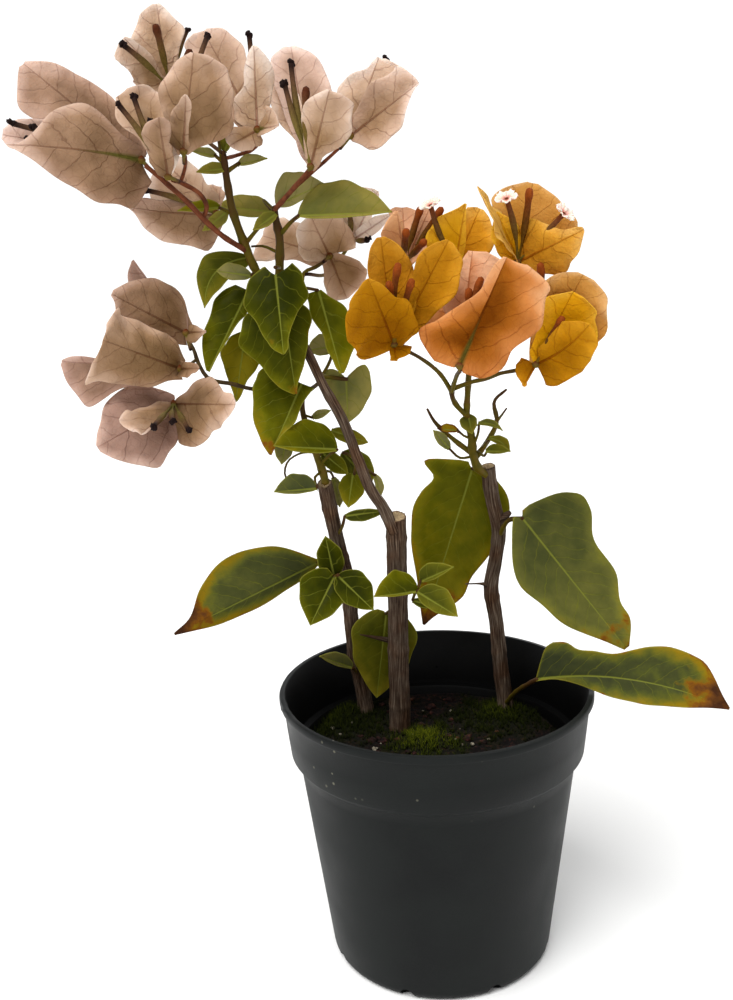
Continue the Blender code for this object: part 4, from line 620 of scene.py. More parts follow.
_, sawn, inset = add(tree, "SeparateXYZ", [share]).node.outputs
rings = add(tree, "TexNoise", {"Vector": place, "Scale": 2.0, "Detail": 4.0})
wood = add(tree, "ValToRGB", [rings], stops=[(0.3, "#7d6548"), (0.7, "#cbb48c")])
rim = add(tree, "MapRange", [inset, 0.8, 0.97])
wood = add(tree, "Mix", {0: rim, 6: wood, 7: "#5a4234"}, out=2, data_type="RGBA")
coat = add(tree, "Mix", {0: sawn, 6: coat, 7: wood}, out=2, data_type="RGBA")
bump = add(tree, "Bump", {"Height": ridge, "Strength": 0.8, "Distance": 0.0009})
link(shader, Base_Color=coat, Normal=bump)
for name, lines in CANES.items():
    parts = [stem(lines[0], sides=44, step=1.1, bark=0.34, cut=True)]
    for line in lines[1:]:
        thick = line[0][3] > 4.5
        parts.append(stem(line, sides=24 if thick else 12, step=1.2, bark=0.14 if thick else 0.05))
    fused(name + "_bark", parts, bark, "bark", name)

# Leafy shoots and leaves.  This year's growth: green stems with soft bumps where leaves were, and
# ovate pointed leaves with a pale midrib, some yellowing, with brown scorched tips and margins.
STATIONS = (0.0, 0.1, 0.22, 0.36, 0.52, 0.68, 0.82, 0.93, 1.0)
NARROWEST = 0.3
FRONT = Vector((0.0, -0.97, 0.24))
PUCKER_SIZE = 5.5
GUTTER_WIDTH = 1.3
FLAT_RIM = 0.8
EDGE_WAVE = 0.035
THINNER_RIM = 0.45
ROW_LIMITS = (12, 46)
COLUMN_LIMITS = (4, 18)


def half_width(width, along, peak, point):
    """A round base up to the widest place and a pointed end, or half widths at STATIONS, or at places
    given with them."""
    if isinstance(width, tuple):
        width = list(zip(STATIONS, width))
    if isinstance(width, list):
        return np.maximum(smooth_through(*np.array(width, float).T, along), NARROWEST)
    rise = np.sqrt(np.clip(1 - ((peak - along) / peak) ** 2, 0, 1))
    fall = 1 - np.clip((along - peak) / (1 - peak), 0, 1) ** point
    return width * np.where(along <= peak, rise, fall)


def blade(base, tip, left, right, turn=0.0, cup=0.0, fold_left=0.0, fold_right=0.0, bow=0.0, sweep=0.0,
          peak=0.42, point=2.0, lobe=0.0, ruffle=1.15, pucker=0.3, thick=0.36, grid=1.15, gutter=0.3,
          tone=0.5, worn=0.0, olive=0.0):
    """A thin closed leaf or bract between two points, with wavy margins and puckered between its veins.
    tone runs between its material's two shades; worn is how far its tip and margin have browned."""
    base, tip = Vector(base), Vector(tip)
    axis = tip - base
    length = axis.length
    forward = axis.normalized()
    face = (FRONT - forward * FRONT.dot(forward)).normalized()
    face = Matrix.Rotation(math.radians(turn), 3, forward) @ face
    leftward = np.array(face.cross(forward))
    forward, face, base, axis = (np.array(v) for v in (forward, face, base, axis))
    seed = rng.uniform(0, 200)
    phase = [rng.uniform(0, 2 * math.pi) for _ in range(6)]
    rows = int(np.clip(length / grid, *ROW_LIMITS))
    even = np.linspace(0, 1, rows + 1)
    along = 0.55 * even + 0.45 * (0.5 - 0.5 * np.cos(np.pi * even))
    widest = max(np.max(half_width(side, along, peak, point)) for side in (left, right))
    half = int(np.clip(widest / grid, *COLUMN_LIMITS))
    out = np.linspace(-1, 1, 2 * half + 1)
    out = np.sign(out) * np.abs(out) ** 0.9
    arch = 4 * along * (1 - along)
    middle = base + np.outer(along, axis) + np.outer(arch * bow, face) + np.outer(arch * sweep, leftward)
    grid_points = np.zeros((rows + 1, len(out), 3))
    run = np.zeros((rows + 1, len(out)))
    limit = np.zeros((rows + 1, len(out)))
    for hand, sides, fold in ((-1, left, fold_left), (1, right, fold_right)):
        width = half_width(sides, along, peak, point)
        wave = 1 + EDGE_WAVE * np.sin(2 * np.pi * 2.7 * along + phase[0 if hand < 0 else 1])
        width = np.maximum(width * wave, np.where(along < 0.02, 1.0, 0.25))
        picks = out < 0 if hand < 0 else out >= 0
        reach = np.abs(out[picks])
        distance = np.outer(width, reach)
        start = math.radians(fold)
        if abs(cup) < 0.5:
            sideways, outward = distance * math.cos(start), distance * math.sin(start)
        else:
            bend = (math.radians(cup) / width)[:, None]
            end = start + bend * distance
            sideways = (np.sin(end) - math.sin(start)) / bend
            outward = (math.cos(start) - np.cos(end)) / bend
        back = np.outer(np.minimum(lobe, width) * (1 - along) ** 2, reach ** 1.5)
        a, b = (2, 3) if hand < 0 else (4, 5)
        amount = ruffle * np.outer(np.clip(width / 9, 0.15, 1.2), reach ** 2.4)
        ripple = (0.95 * np.sin(2 * np.pi * 1.6 * along + phase[a])[:, None]
                  + 0.5 * np.sin(2 * np.pi * 3.9 * along + phase[b])[:, None]) * amount
        grid_points[:, picks] = (middle[:, None] - leftward * (hand * sideways)[..., None]
                                 + face * (outward + ripple)[..., None] - forward * back[..., None])
        run[:, picks] = hand * distance
        limit[:, picks] = width[:, None] * (1 - reach)
    lift = -gutter * np.exp(-(run / GUTTER_WIDTH) ** 2)
    for i in range(rows + 1):
        for j in range(len(out)):
            spot = Vector((along[i] * length / PUCKER_SIZE + seed, run[i, j] / PUCKER_SIZE, seed))
            lift[i, j] += pucker * (1.6 * noise.noise(spot) + 0.7 * noise.noise(spot * 2.3))
    edge = np.clip(limit / FLAT_RIM, 0.3, 1)
    grid_points += face * (lift * edge)[..., None]
    lengthwise = np.gradient(grid_points, axis=0)
    crosswise = np.gradient(grid_points, axis=1)
    normal = np.cross(crosswise, lengthwise)
    normal /= np.maximum(np.linalg.norm(normal, axis=2), 1e-9)[..., None]
    normal *= np.where((normal @ face) < 0, -1, 1)[..., None]
    depth = thick / 2 * (1 - THINNER_RIM * np.abs(out) ** 3)[None, :, None]
    upper = (grid_points + normal * depth).reshape(-1, 3)
    lower = (grid_points - normal * depth).reshape(-1, 3)
    columns = len(out)
    faces = []
    count = len(upper)
    for i in range(rows):
        for j in range(columns - 1):
            a, b = i * columns + j, i * columns + j + 1
            c, d = b + columns, a + columns
            faces += [(a, b, c, d), (count + d, count + c, count + b, count + a)]
    loop = list(range(columns)) + [i * columns + columns - 1 for i in range(1, rows + 1)]
    loop += [rows * columns + j for j in range(columns - 2, -1, -1)]
    loop += [i * columns for i in range(rows - 1, 0, -1)]
    for a, b in zip(loop, loop[1:] + loop[:1]):
        faces.append((b, a, count + a, count + b))
    whole = np.ones((rows + 1, columns))
    place = np.stack([whole * (along * length)[:, None], run, whole * seed], 2).reshape(-1, 3)
    share = np.stack([whole * along[:, None], whole * out, limit], 2).reshape(-1, 3)
    # The third tint value is the olive at a bract's foot; on a leaf it is the share of painted sheen mixed
    # into its green.
    tint = np.tile([tone, worn, olive], (2 * count, 1))
    return {"verts": np.concatenate([upper, lower]), "faces": faces, "place": np.concatenate([place] * 2),
            "share": np.concatenate([share] * 2), "tint": tint}


def leaf(base, tip, left, right, **form):
    """A leaf: stiffer and smoother than a bract, with a channel along its midrib."""
    # On a leaf, olive sets how much painted sheen greys its colour.
    large = isinstance(left, list)
    values = {"point": 1.8, "ruffle": 0.5, "pucker": 0.14, "thick": 0.42, "gutter": 0.35,
              "grid": 1.3 if large else 0.8, **form}
    return blade(base, tip, left, right, **values)


def veins(tree, pitch, lean, curl, fine):
    """Masks for the midrib, the side veins and the net between them, drawn from a blade's own
    millimetres: side veins pitch apart that leave the midrib at lean and curl towards the tip."""
    place = add(tree, "Attribute", out=1, attribute_name="place")
    share = add(tree, "Attribute", out=1, attribute_name="share")
    wander = add(tree, "TexNoise", {"Vector": place, "Scale": 0.16, "Detail": 2.0})
    wander = add(tree, "MapRange", [wander, 0.0, 1.0, -3.2, 3.2])
    along, across, _ = add(tree, "SeparateXYZ", [place]).node.outputs
    start = add(tree, "SeparateXYZ", [share], out=0)
    width = add(tree, "MapRange", [start, 0.0, 1.0, 0.45, 0.12])
    away = add(tree, "Math", [across], operation="ABSOLUTE")
    ratio = add(tree, "Math", [away, width], operation="DIVIDE")
    midrib = add(tree, "MapRange", [ratio, 1.5, 0.6])
    square = add(tree, "Math", [away, away], operation="MULTIPLY")
    shift = add(tree, "Math", [away, -lean, along], operation="MULTIPLY_ADD")
    shift = add(tree, "Math", [square, -curl, shift], operation="MULTIPLY_ADD")
    shift = add(tree, "Math", [shift, wander], operation="ADD")
    hand = add(tree, "Math", [across], operation="SIGN")
    shift = add(tree, "Math", [hand, 0.23 * pitch, shift], operation="MULTIPLY_ADD")
    near = add(tree, "Math", [shift, pitch / 2], operation="PINGPONG")
    side = add(tree, "MapRange", [near, 0.34, 0.08])
    stray = add(tree, "TexNoise", {"Vector": place, "Scale": 0.4, "Detail": 1.0}, out=1)
    strayed = add(tree, "VectorMath", [place, stray], operation="ADD")
    cells = add(tree, "TexVoronoi", {"Vector": strayed, "Scale": fine}, feature="DISTANCE_TO_EDGE")
    net = add(tree, "MapRange", [cells, 0.085, 0.01])
    return place, share, midrib, side, net


# A bougainvillea leaf: a thin waxy green blade, lighter along the midrib and side veins and in a fine line
# round its margin, yellowing from the margin as it ages, with rust and dry brown at the tip.  Some leaves
# are greyed by a painted sheen that stands in for light reflected off them.
green, tree, shader = surface("leaf_blade", Roughness=0.42, Specular_IOR_Level=0.03, Subsurface_Weight=0.1,
                              Subsurface_Radius=(0.6, 1.0, 0.2), Subsurface_Scale=0.0008)
place, share, midrib, side, _ = veins(tree, pitch=6.5, lean=0.75, curl=0.028, fine=0.55)
tint = add(tree, "Attribute", out=1, attribute_name="tint")
tone, worn, painted_sheen = add(tree, "SeparateXYZ", [tint]).node.outputs
tipward, _, limit = add(tree, "SeparateXYZ", [share]).node.outputs
mottle = add(tree, "TexNoise", {"Vector": place, "Scale": 0.13, "Detail": 4.0, "Roughness": 0.6})
age = add(tree, "Math", [mottle, 0.66, -0.33], operation="MULTIPLY_ADD")
age = add(tree, "Math", [age, tone], operation="ADD")
later = add(tree, "MapRange", [tipward, 0.0, 1.0, -0.12, 0.26])
age = add(tree, "Math", [later, age], operation="ADD")
hem = add(tree, "MapRange", [limit, 6.0, 0.0, -0.08, 0.26])
age = add(tree, "Math", [hem, age], operation="ADD", use_clamp=True)
body = add(tree, "ValToRGB", [age], stops=[
    (0, "#262a02"), (0.33, "#3c3e02"), (0.66, "#565404"), (1, "#766a0e")])
# Painted sheen: grey-green shades that stand in for light reflected off the leaf, mixed in by each leaf's
# third tint value.
sheen_shades = add(tree, "ValToRGB", [age], stops=[
    (0, "#34382a"), (0.33, "#484c30"), (0.66, "#62623a"), (1, "#807846")])
body = add(tree, "Mix", {0: painted_sheen, 6: body, 7: sheen_shades}, out=2, data_type="RGBA")
late = add(tree, "MapRange", [tipward, 0.3, 1.0, 0.0, 0.9])
outer = add(tree, "MapRange", [limit, 6.5, 0.0])
late = add(tree, "Math", [outer, late], operation="ADD")
late = add(tree, "Math", [late, worn], operation="MULTIPLY")
late = add(tree, "Math", [mottle, 0.9, late], operation="MULTIPLY_ADD")
ochre = add(tree, "MapRange", [late, 0.8, 1.3])
turning = add(tree, "ValToRGB", [ochre], stops=[(0.0, "#646a14"), (1.0, "#866a04")])
late = add(tree, "MapRange", [late, 0.72, 1.25, 0.0, 0.8])
body = add(tree, "Mix", {0: late, 6: body, 7: turning}, out=2, data_type="RGBA")
for line, strength, shade in ((side, 0.38, "#686a1c"), (midrib, 0.7, "#767a2c")):
    faint = add(tree, "Math", [line, strength], operation="MULTIPLY")
    body = add(tree, "Mix", {0: faint, 6: body, 7: shade}, out=2, data_type="RGBA")
hair = add(tree, "MapRange", [limit, 0.55, 0.2, 0.0, 0.45])
body = add(tree, "Mix", {0: hair, 6: body, 7: "#8e8a34"}, out=2, data_type="RGBA")
ragged = add(tree, "TexNoise", {"Vector": place, "Scale": 0.16, "Detail": 4.0, "Roughness": 0.55})
burn = add(tree, "MapRange", [tipward, 0.62, 1.0])
rim = add(tree, "MapRange", [limit, 1.8, 0.0, 0.0, 0.4])
burn = add(tree, "Math", [burn, rim], operation="MAXIMUM")
burn = add(tree, "Math", [burn, worn], operation="MULTIPLY")
burn = add(tree, "Math", [ragged, 0.9, burn], operation="MULTIPLY_ADD")
rust = add(tree, "MapRange", [burn, 0.70, 1.05])
scorch = add(tree, "ValToRGB", [rust], stops=[
    (0.0, "#7c6206"), (0.35, "#74480e"), (0.65, "#5a3616"), (1.0, "#3e2414")])
amount = add(tree, "MapRange", [burn, 0.68, 0.82])
coat = add(tree, "Mix", {0: amount, 6: body, 7: scorch}, out=2, data_type="RGBA")
dry = add(tree, "MapRange", [rust, 0.0, 1.0, 0.40, 0.75])
relief = add(tree, "Math", [side, -0.5, mottle], operation="MULTIPLY_ADD")
relief = add(tree, "Math", [midrib, -0.7, relief], operation="MULTIPLY_ADD")
bump = add(tree, "Bump", {"Height": relief, "Strength": 0.45, "Distance": 0.0006})
link(shader, Base_Color=coat, Roughness=dry, Normal=bump)

# Soft shoot: smooth green skin with a little brown where it is turning to wood.
skin, tree, shader = surface("green_stem", Roughness=0.5, Specular_IOR_Level=0.08)
place = add(tree, "Attribute", out=1, attribute_name="place")
fleck = add(tree, "TexNoise", {"Vector": place, "Scale": 0.3, "Detail": 4.0})
tone = add(tree, "ValToRGB", [fleck], stops=[(0.3, "#46400a"), (0.55, "#584a0c"), (0.75, "#5a3e1a")])
share = add(tree, "Attribute", out=1, attribute_name="share")
along = add(tree, "SeparateXYZ", [share], out=0)
ripe = add(tree, "MapRange", [along, 0.3, 1.0])
ripe = add(tree, "Math", [fleck, 0.6, ripe], operation="MULTIPLY_ADD")
ripe = add(tree, "MapRange", [ripe, 0.45, 1.1, 0.0, 0.85])
tone = add(tree, "Mix", {0: ripe, 6: tone, 7: "#3a2012"}, out=2, data_type="RGBA")
bump = add(tree, "Bump", {"Height": fleck, "Strength": 0.3, "Distance": 0.0004})
link(shader, Base_Color=tone, Normal=bump)

# Each shoot: its stems, and its leaves by foot, tip and the half widths to the left and right.
LEAFY = {}
LEAFY["shoot_top"] = [
    [(-51.5, -3, 267.5, 3.4), (-55, -3, 277, 3.4), (-54.5, -4, 291, 3.2), (-54, -5, 300, 3),
     (-55, -6, 307.5, 2.6), (-55, -7, 311, 2.2)],
    [(-54, -3, 274.5, 3.2), (-61.5, -4, 284.5, 3), (-65, -4, 291.5, 3), (-66.5, -4, 296, 3.2),
     (-68.5, -6, 302.5, 3), (-70.5, -8, 310.5, 2.8), (-71.5, -9, 319.5, 2.6), (-72, -10, 326.5, 2.4),
     (-72, -11, 331, 1.6)],
    [(-73, -10, 328, 1.4), (-73.5, -12, 335.5, 0.8)],
    [(-73, -10, 327.5, 1.4), (-75.5, -8, 330, 1.2)],
    [(-71.5, -9, 324, 1.8), (-67, -6, 327, 1.4)],
    [(-71, -8, 309.5, 1.4), (-75.5, -6, 311.5, 1.2)],
    [(-53.5, -5, 301, 1.8), (-49, -9, 305.5, 1.6), (-46, -12, 307.5, 1.4)],
    [(-54.5, -6, 309, 1.2), (-59.5, 2, 313.5, 1.2), (-57.5, 6, 310.5, 1.2)],
    [(-66, -5, 299, 1.8), (-62, -8, 303, 1.4), (-58.5, -9, 306, 1)],
    [(-55, -4, 294.5, 1.2), (-60.5, -2, 297, 1), (-65, 0, 297, 0.8)],
    [(-54.5, -5, 289, 1.4), (-55.5, -15, 289.5, 1.4)],
    [(-54.5, -4, 276, 1.4), (-54, -10, 276.5, 1.4)],
    [(-53.5, -4, 277, 1.4), (-46.5, -4, 281, 1.2), (-40.5, -4, 280, 1.2)],
    [(-63.5, -4, 288.5, 1.4), (-65, -8, 286.5, 1.2)],
    [(-61.5, -4, 284.5, 1.4), (-64.5, -4, 283.5, 1.4), (-67, -4, 281, 1.2)],
    [(-59.5, -4, 280, 1.2), (-65, 0, 272.5, 1.2), (-69.5, 2, 265.5, 1.2)],
    [(-46.5, -4, 281, 1.2), (-46, -2, 286, 1.4), (-41, 4, 288.5, 1.4), (-37.5, 8, 290.5, 1.2)],
], [
    leaf((-55.5, -16, 287), (-53.5, -26, 259), (6.5, 10, 10.5, 11, 7, 4, 2.5, 2, 0.5),
        (3.5, 9, 12, 13, 10, 8, 5.5, 3.5, 0.5), cup=-20, lobe=4, tone=0.1, worn=0.22),
    leaf((-54, -10, 276.5), (-50.5, -14, 242.5), (5, 9, 10.5, 8, 7, 5, 2.5, 1, 0.5),
        (10, 15, 17.5, 18.5, 15.5, 11, 8, 5, 1), cup=-15, tone=0.28, worn=0.3),
    leaf((-65.5, -2, 293), (-83, -10, 275.5), 5.5, 7.5, cup=-20, sweep=-6, point=2, tone=0.45, olive=0.1),
    leaf((-65, -8, 286.5), (-77, -14, 289), 2.5, 4, cup=-20, peak=0.6, point=2, tone=0.6, olive=1),
    leaf((-67, -4, 281), (-83, -12, 252), (1.5, 3, 3.5, 2, 1.5, 1, 0.5, 0.5, 0.5),
        (5.5, 9, 10, 9.5, 9, 8, 6, 3, 1), cup=-20, tone=0.28, worn=0.12),
    leaf((-69.5, 2, 265.5), (-74.5, -4, 239), (0.5, 3.5, 6.5, 7.5, 6, 3.5, 2.5, 1.5, 0.5),
        (0.5, 5.5, 7, 8.5, 7, 4.5, 2.5, 1, 0.5), cup=-15, tone=1, worn=0.15),
    leaf((-40.5, -4, 280), (-33, -10, 249), (1, 3.5, 7.5, 8.5, 8.5, 8.5, 5.5, 3, 1),
        (5, 5, 5.5, 4.5, 3, 3, 2, 1.5, 0.5), cup=-15, tone=0.43),
    leaf((-54.5, -6, 311.5), (-36.5, -10, 318.5), 10, 2.5, cup=-20, peak=0.35, point=2, tone=1, olive=1),
    leaf((-46.5, -12, 307.5), (-12.5, -24, 307.5), 13, 1.5, cup=-20, peak=0.38, point=2, tone=0.75,
        olive=0.5),
    leaf((-54.5, -8, 308.5), (-63, -12, 303), 2, 3, peak=0.4, point=2, tone=0.53, olive=0.3),
    leaf((-57, 6, 309.5), (-79, 14, 312.5), 3, 6, cup=-20, peak=0.5, point=2, tone=0.83, olive=0.5),
    leaf((-75, -6, 311.5), (-90.5, -9, 311), 1, 3.5, peak=0.35, tone=0.55),
    leaf((-72.5, -7, 310), (-82, -8, 303.5), 3, 2.5, peak=0.4, tone=0.75, olive=0.4),
    leaf((-72, -8, 331), (-68, -12, 338.5), 3.5, 1.5, peak=0.4, point=2, olive=0.2),
    leaf((-75, -8, 329.5), (-83.5, -14, 331.5), 1, 2.5, peak=0.35, tone=1, olive=1),
    leaf((-71.5, -10, 325), (-81.5, -16, 324), 1.5, 3, peak=0.35, point=2, tone=0.68, olive=0.3),
    leaf((-67.5, -6, 326.5), (-56.5, -10, 328), 3, 1, peak=0.35, tone=1, olive=1),
]
LEAFY["shoot_left_top"] = [
    [(-41.5, 2.5, 202.5, 3.2), (-42, 1, 207, 3.2), (-44, 0, 214, 2.8), (-46.5, 0, 223, 2.4),
     (-49, 0, 233, 2.2), (-49, -2, 242, 1.8)],
    [(-43.5, 0, 211.5, 1.4), (-39, -3, 216.5, 1.2), (-36, -6, 219, 1.2)],
    [(-46.5, 0, 223, 1), (-56, -2, 223, 1)],
    [(-48.5, 0, 232, 1), (-45.5, 2, 230.5, 1)],
    [(-43, 0, 209, 1.2), (-45.5, -5, 207.5, 1), (-44.5, -7, 204, 1)],
    [(-44.5, 0, 214.5, 1), (-42.5, 4, 216, 1)],
    [(-43, 0, 209, 1.2), (-39.5, 6, 207.5, 1), (-38.5, 9, 204.5, 1)],
    [(-44.5, 0, 217, 1), (-51, -4, 217.5, 0.8), (-55.5, -6, 215, 0.8), (-57, -6, 210.5, 0.8),
     (-56, -6, 206.5, 0.8)],
], [
    leaf((-48.5, -4, 245), (-61.5, -14, 219.5), (5, 4, 3.5, 3.5, 3.5, 1.5, 0.5, 0.5, 0.5),
        (15, 17.5, 17, 15.5, 14, 11, 7.5, 4, 0.5), cup=8, tone=0.43, worn=0.42),
    leaf((-56, -2, 223), (-58, -6, 214), 3.5, 4, peak=0.35, point=2, tone=0.53, olive=0.9),
    leaf((-36, -6, 219), (-60, -14, 223), 2, 11, cup=-15, peak=0.45, point=2, tone=0.38),
    leaf((-45.5, 2, 230.5), (-38, 0, 233.5), 2, 1.5, peak=0.4, tone=1, olive=1),
    leaf((-44.5, -7, 204), (-61, -12, 204.5), 1.5, 6.5, peak=0.5, point=2, tone=0.18, olive=0.6),
    leaf((-42.5, 4, 216), (-32.5, 6, 206.5), 3.5, 3.5, peak=0.45, point=2.6, tone=0.23),
    leaf((-38.5, 9, 204.5), (-36.5, 11, 191.5), 3, 2.5, peak=0.5, point=2, tone=1, olive=1),
]
LEAFY["shoot_right_top"] = [
    [(26, 18.5, 200, 3.2), (20, 12, 206, 3.4), (18.5, 10.5, 210.5, 3.4), (17.5, 8, 219.5, 3.2),
     (15.5, 4, 229, 2.6), (15.5, 0, 237.5, 2.4), (15.5, -6, 246, 2.4), (16, -14, 260, 2.2),
     (16.5, -18, 275, 2), (18, -20, 286, 2)],
    [(15.5, 4, 228.5, 2.2), (11.5, 0, 233, 2), (9, -6, 238, 2), (8.5, -10, 241.5, 2)],
    [(8.5, -10, 240.5, 1.8), (4, -16, 248, 1.6), (-4, -24, 255.5, 1.4), (-12, -30, 260.5, 1.2)],
    [(8.5, -10, 240.5, 1.8), (9.5, -22, 248, 1.6), (10, -36, 252.5, 1.4)],
    [(9, -10, 241.5, 1.8), (15.5, -12, 244, 1.6), (21, -18, 246, 1.5), (25, -24, 248.5, 1.4),
     (31.5, -30, 250.5, 1.4), (35, -33.5, 252, 1.2)],
    [(19.5, 12, 210.5, 2.6), (10.5, 10, 218, 1.8), (2.5, 8, 226.5, 1.4), (0, 6, 231.5, 0.8)],
    [(19, 14, 208.5, 2.4), (23.5, 12, 215, 2.2), (28, 10, 224.5, 1.8), (27, 8, 233.5, 1.4),
     (31.5, 6, 238, 0.8)],
    [(28, 10, 224.5, 1.2), (31.5, 6, 230.5, 0.6)],
    [(17.5, 8, 218.5, 1.2), (14.5, 6, 220, 1), (11.5, 4, 223, 1)],
    [(18.5, 9, 215.5, 1.2), (20, 5, 221.5, 1), (20, 2, 225, 1)],
    [(20.5, 10, 212.5, 1.2), (22, 4, 212, 1), (22.5, -1, 214.5, 1)],
    [(22.5, 11, 214.5, 1.2), (24, 1, 219.5, 1)],
    [(19, 12, 210.5, 1.2), (13, 9, 210.5, 1), (8.5, 6, 215, 1)],
], [
    leaf((16, 4, 229), (17, 0, 222), 3, 4, peak=0.35, point=2, tone=0.4, olive=0.2),
    leaf((19.5, 2, 225.5), (28.5, -4, 223.5), 2, 1, sweep=1.2, peak=0.4, point=2, tone=0.33, olive=0.4),
    leaf((12, 4, 222.5), (3.5, 0, 224.5), 1, 2.5, peak=0.5, point=2, tone=0, worn=1),
    leaf((23.5, 0, 220), (31, -6, 215.5), 2.5, 1.5, sweep=1.2, peak=0.6, point=2, olive=0.1),
    leaf((22, -2, 215), (31, -8, 216), 3, 1, peak=0.4, point=2, tone=0.33, olive=0.1),
    leaf((8.5, 6, 215), (2, 2, 223.5), 2, 2.5, peak=0.5, point=2, tone=0.45, olive=0.9),
]
LEAFY["leaf_lower_left"] = [
    [(-37.5, 17, 171, 1.8), (-41.5, 14, 169, 1.8), (-47, 16, 166.5, 1.8)],
], [
    leaf((-46, 16, 167), (-104.5, -10, 147), [(0, 1), (0.1, 4.5), (0.3, 7), (0.5, 8.5), (0.7, 7), (0.9, 3),
        (1, 0.5)], [(0, 1), (0.1, 7.5), (0.22, 14), (0.36, 18), (0.5, 18), (0.64, 16.5), (0.76, 11.5),
        (0.86, 4), (1, 0.5)], cup=8, fold_left=-50, tone=0.38, worn=0.75, ruffle=0.9, olive=0.5),
]
LEAFY["leaf_behind_right"] = [
    [(25.5, 18, 201.5, 1.6), (22, 27, 202, 1.6), (20, 31, 201, 1.6)],
], [
    leaf((20, 31, 201), (-2.5, 31, 131.5), [(0, 1.5), (0.08, 13), (0.2, 20.5), (0.36, 21.5), (0.5, 17.5),
        (0.64, 14.5), (0.76, 13), (0.86, 7.5), (0.95, 2.5), (1, 0.5)], [(0, 2.5), (0.06, 20), (0.14, 14.5),
        (0.24, 17.5), (0.34, 20), (0.5, 16.5), (0.7, 10.5), (0.86, 5), (1, 0.5)], cup=-10, lobe=3,
        tone=0.73, worn=0.6, ruffle=0.8),
]
LEAFY["leaf_right"] = [
    [(29.5, 24, 171, 2), (34, 13, 183, 1.8), (38, 8, 184.5, 1.8)],
], [
    leaf((37.5, 8, 185), (77.5, -8, 132.5), [(0, 2), (0.05, 16.5), (0.12, 24.5), (0.24, 24), (0.36, 19),
        (0.5, 17.5), (0.64, 15.5), (0.76, 10.5), (0.88, 9), (1, 1.5)], [(0, 2), (0.08, 7.5), (0.2, 14),
        (0.34, 17.5), (0.5, 16.5), (0.64, 14), (0.8, 9), (0.92, 4), (1, 1)], cup=-15, lobe=3, tone=0.48,
        worn=0.36, ruffle=0.8, olive=0.5),
]
LEAFY["leaf_low_right"] = [
    [(33.5, 35, 90.5, 2), (36.5, 12, 107.5, 1.8), (42, -4, 119, 1.8)],
], [
    leaf((41.5, -4, 119), (111.5, -34, 116.5), [(0, 1), (0.03, 12), (0.06, 14.5), (0.1, 14.5),
        (0.15, 13.5), (0.2, 11), (0.3, 10.5), (0.4, 10), (0.5, 12), (0.6, 14.5), (0.7, 16.5), (0.8, 15.5),
        (0.87, 13), (0.92, 8.5), (0.96, 4), (1, 0.5)], [(0, 1), (0.1, 1), (0.2, 3), (0.3, 5.5), (0.4, 7.5),
        (0.5, 8.5), (0.6, 9), (0.7, 7.5), (0.8, 5.5), (0.9, 3), (1, 0.5)], cup=12, sweep=5.5, tone=0.18,
        worn=0.6, ruffle=0.8, olive=0.5),
]
LEAFY["leaves_cane_left"] = [
    [(-34.5, 23, 157, 2), (-39, 9, 162.5, 1.8), (-40, 2, 164.5, 1.8)],
    [(-40, 3, 164, 1.4), (-38, -3, 167, 1.4)],
], [
    leaf((-40, 4, 164), (-42.5, -2, 183), 5.5, 5.5, peak=0.45, point=2, tone=0),
    leaf((-40, 0, 165), (-50, -10, 148.5), 8, 11.5, peak=0.36, lobe=3, tone=0.15),
    leaf((-38.5, -2, 166.5), (-24.5, -6, 152.5), 8, 6, peak=0.4, point=2, tone=0),
]
LEAFY["leaf_low_cane_left"] = [
    [(-33, 35.5, 108.5, 1.6), (-34.5, 24, 115.5, 1.4)],
], [
    leaf((-34.5, 24, 115.5), (-48, 14, 125.5), 1.5, 4.5, peak=0.5, point=2, olive=0.7),
]
LEAFY["leaf_heart_middle"] = [
    [(-14, 12.5, 147.5, 1.6), (-19, 22.5, 140.5, 1.4)],
], [
    leaf((-19, 22.5, 140.5), (-24.5, 26, 100), 14.5, 14, cup=-15, peak=0.32, point=2, lobe=2, tone=0.58,
        olive=0.1),
]
LEAFY["leaves_cane_middle"] = [
    [(-14, 11, 154, 1.8), (-8, 2, 157, 1.6), (-6, -5, 159.5, 1.6)],
    [(-7, -2, 158.5, 1.4), (-8.5, -2, 154.5, 1.2)],
    [(-6.5, -3, 159, 1.4), (-5, -2, 163, 1.2)],
], [
    leaf((-6, -4, 159), (-24, -10, 159.5), 1, 9.5, cup=-15, peak=0.45, point=2, tone=0.38),
    leaf((-5, -2, 162.5), (8, -8, 170), 5.5, 1.5, peak=0.35, point=2, tone=0.3, olive=0.1),
    leaf((-6.5, -6, 159.5), (9, -12, 150.5), 7, 3.5, point=2, tone=0.35, olive=0.1),
    leaf((-8.5, -2, 154.5), (0, -4, 152.5), 2, 2, peak=0.5, point=2, tone=0.03),
]
LEAFY["leaves_branch_upper"] = [
    [(-41.5, -7.5, 248, 2.2), (-37.5, -1, 246.5, 1.6), (-31, -1, 245.5, 1.4)],
    [(-41, -2.5, 247, 1.4), (-37.5, 4, 252.5, 1.2), (-36, 8, 257.5, 1.2)],
], [
    leaf((-36, 8, 257.5), (-46.5, 6, 256.5), 3, 5.5, peak=0.4, point=2, tone=1, olive=1),
    leaf((-31.5, -1, 246), (-31.5, -2, 228.5), 10.5, 9, cup=-35, peak=0.3, point=2, lobe=8, tone=0.8,
        olive=0.7),
]
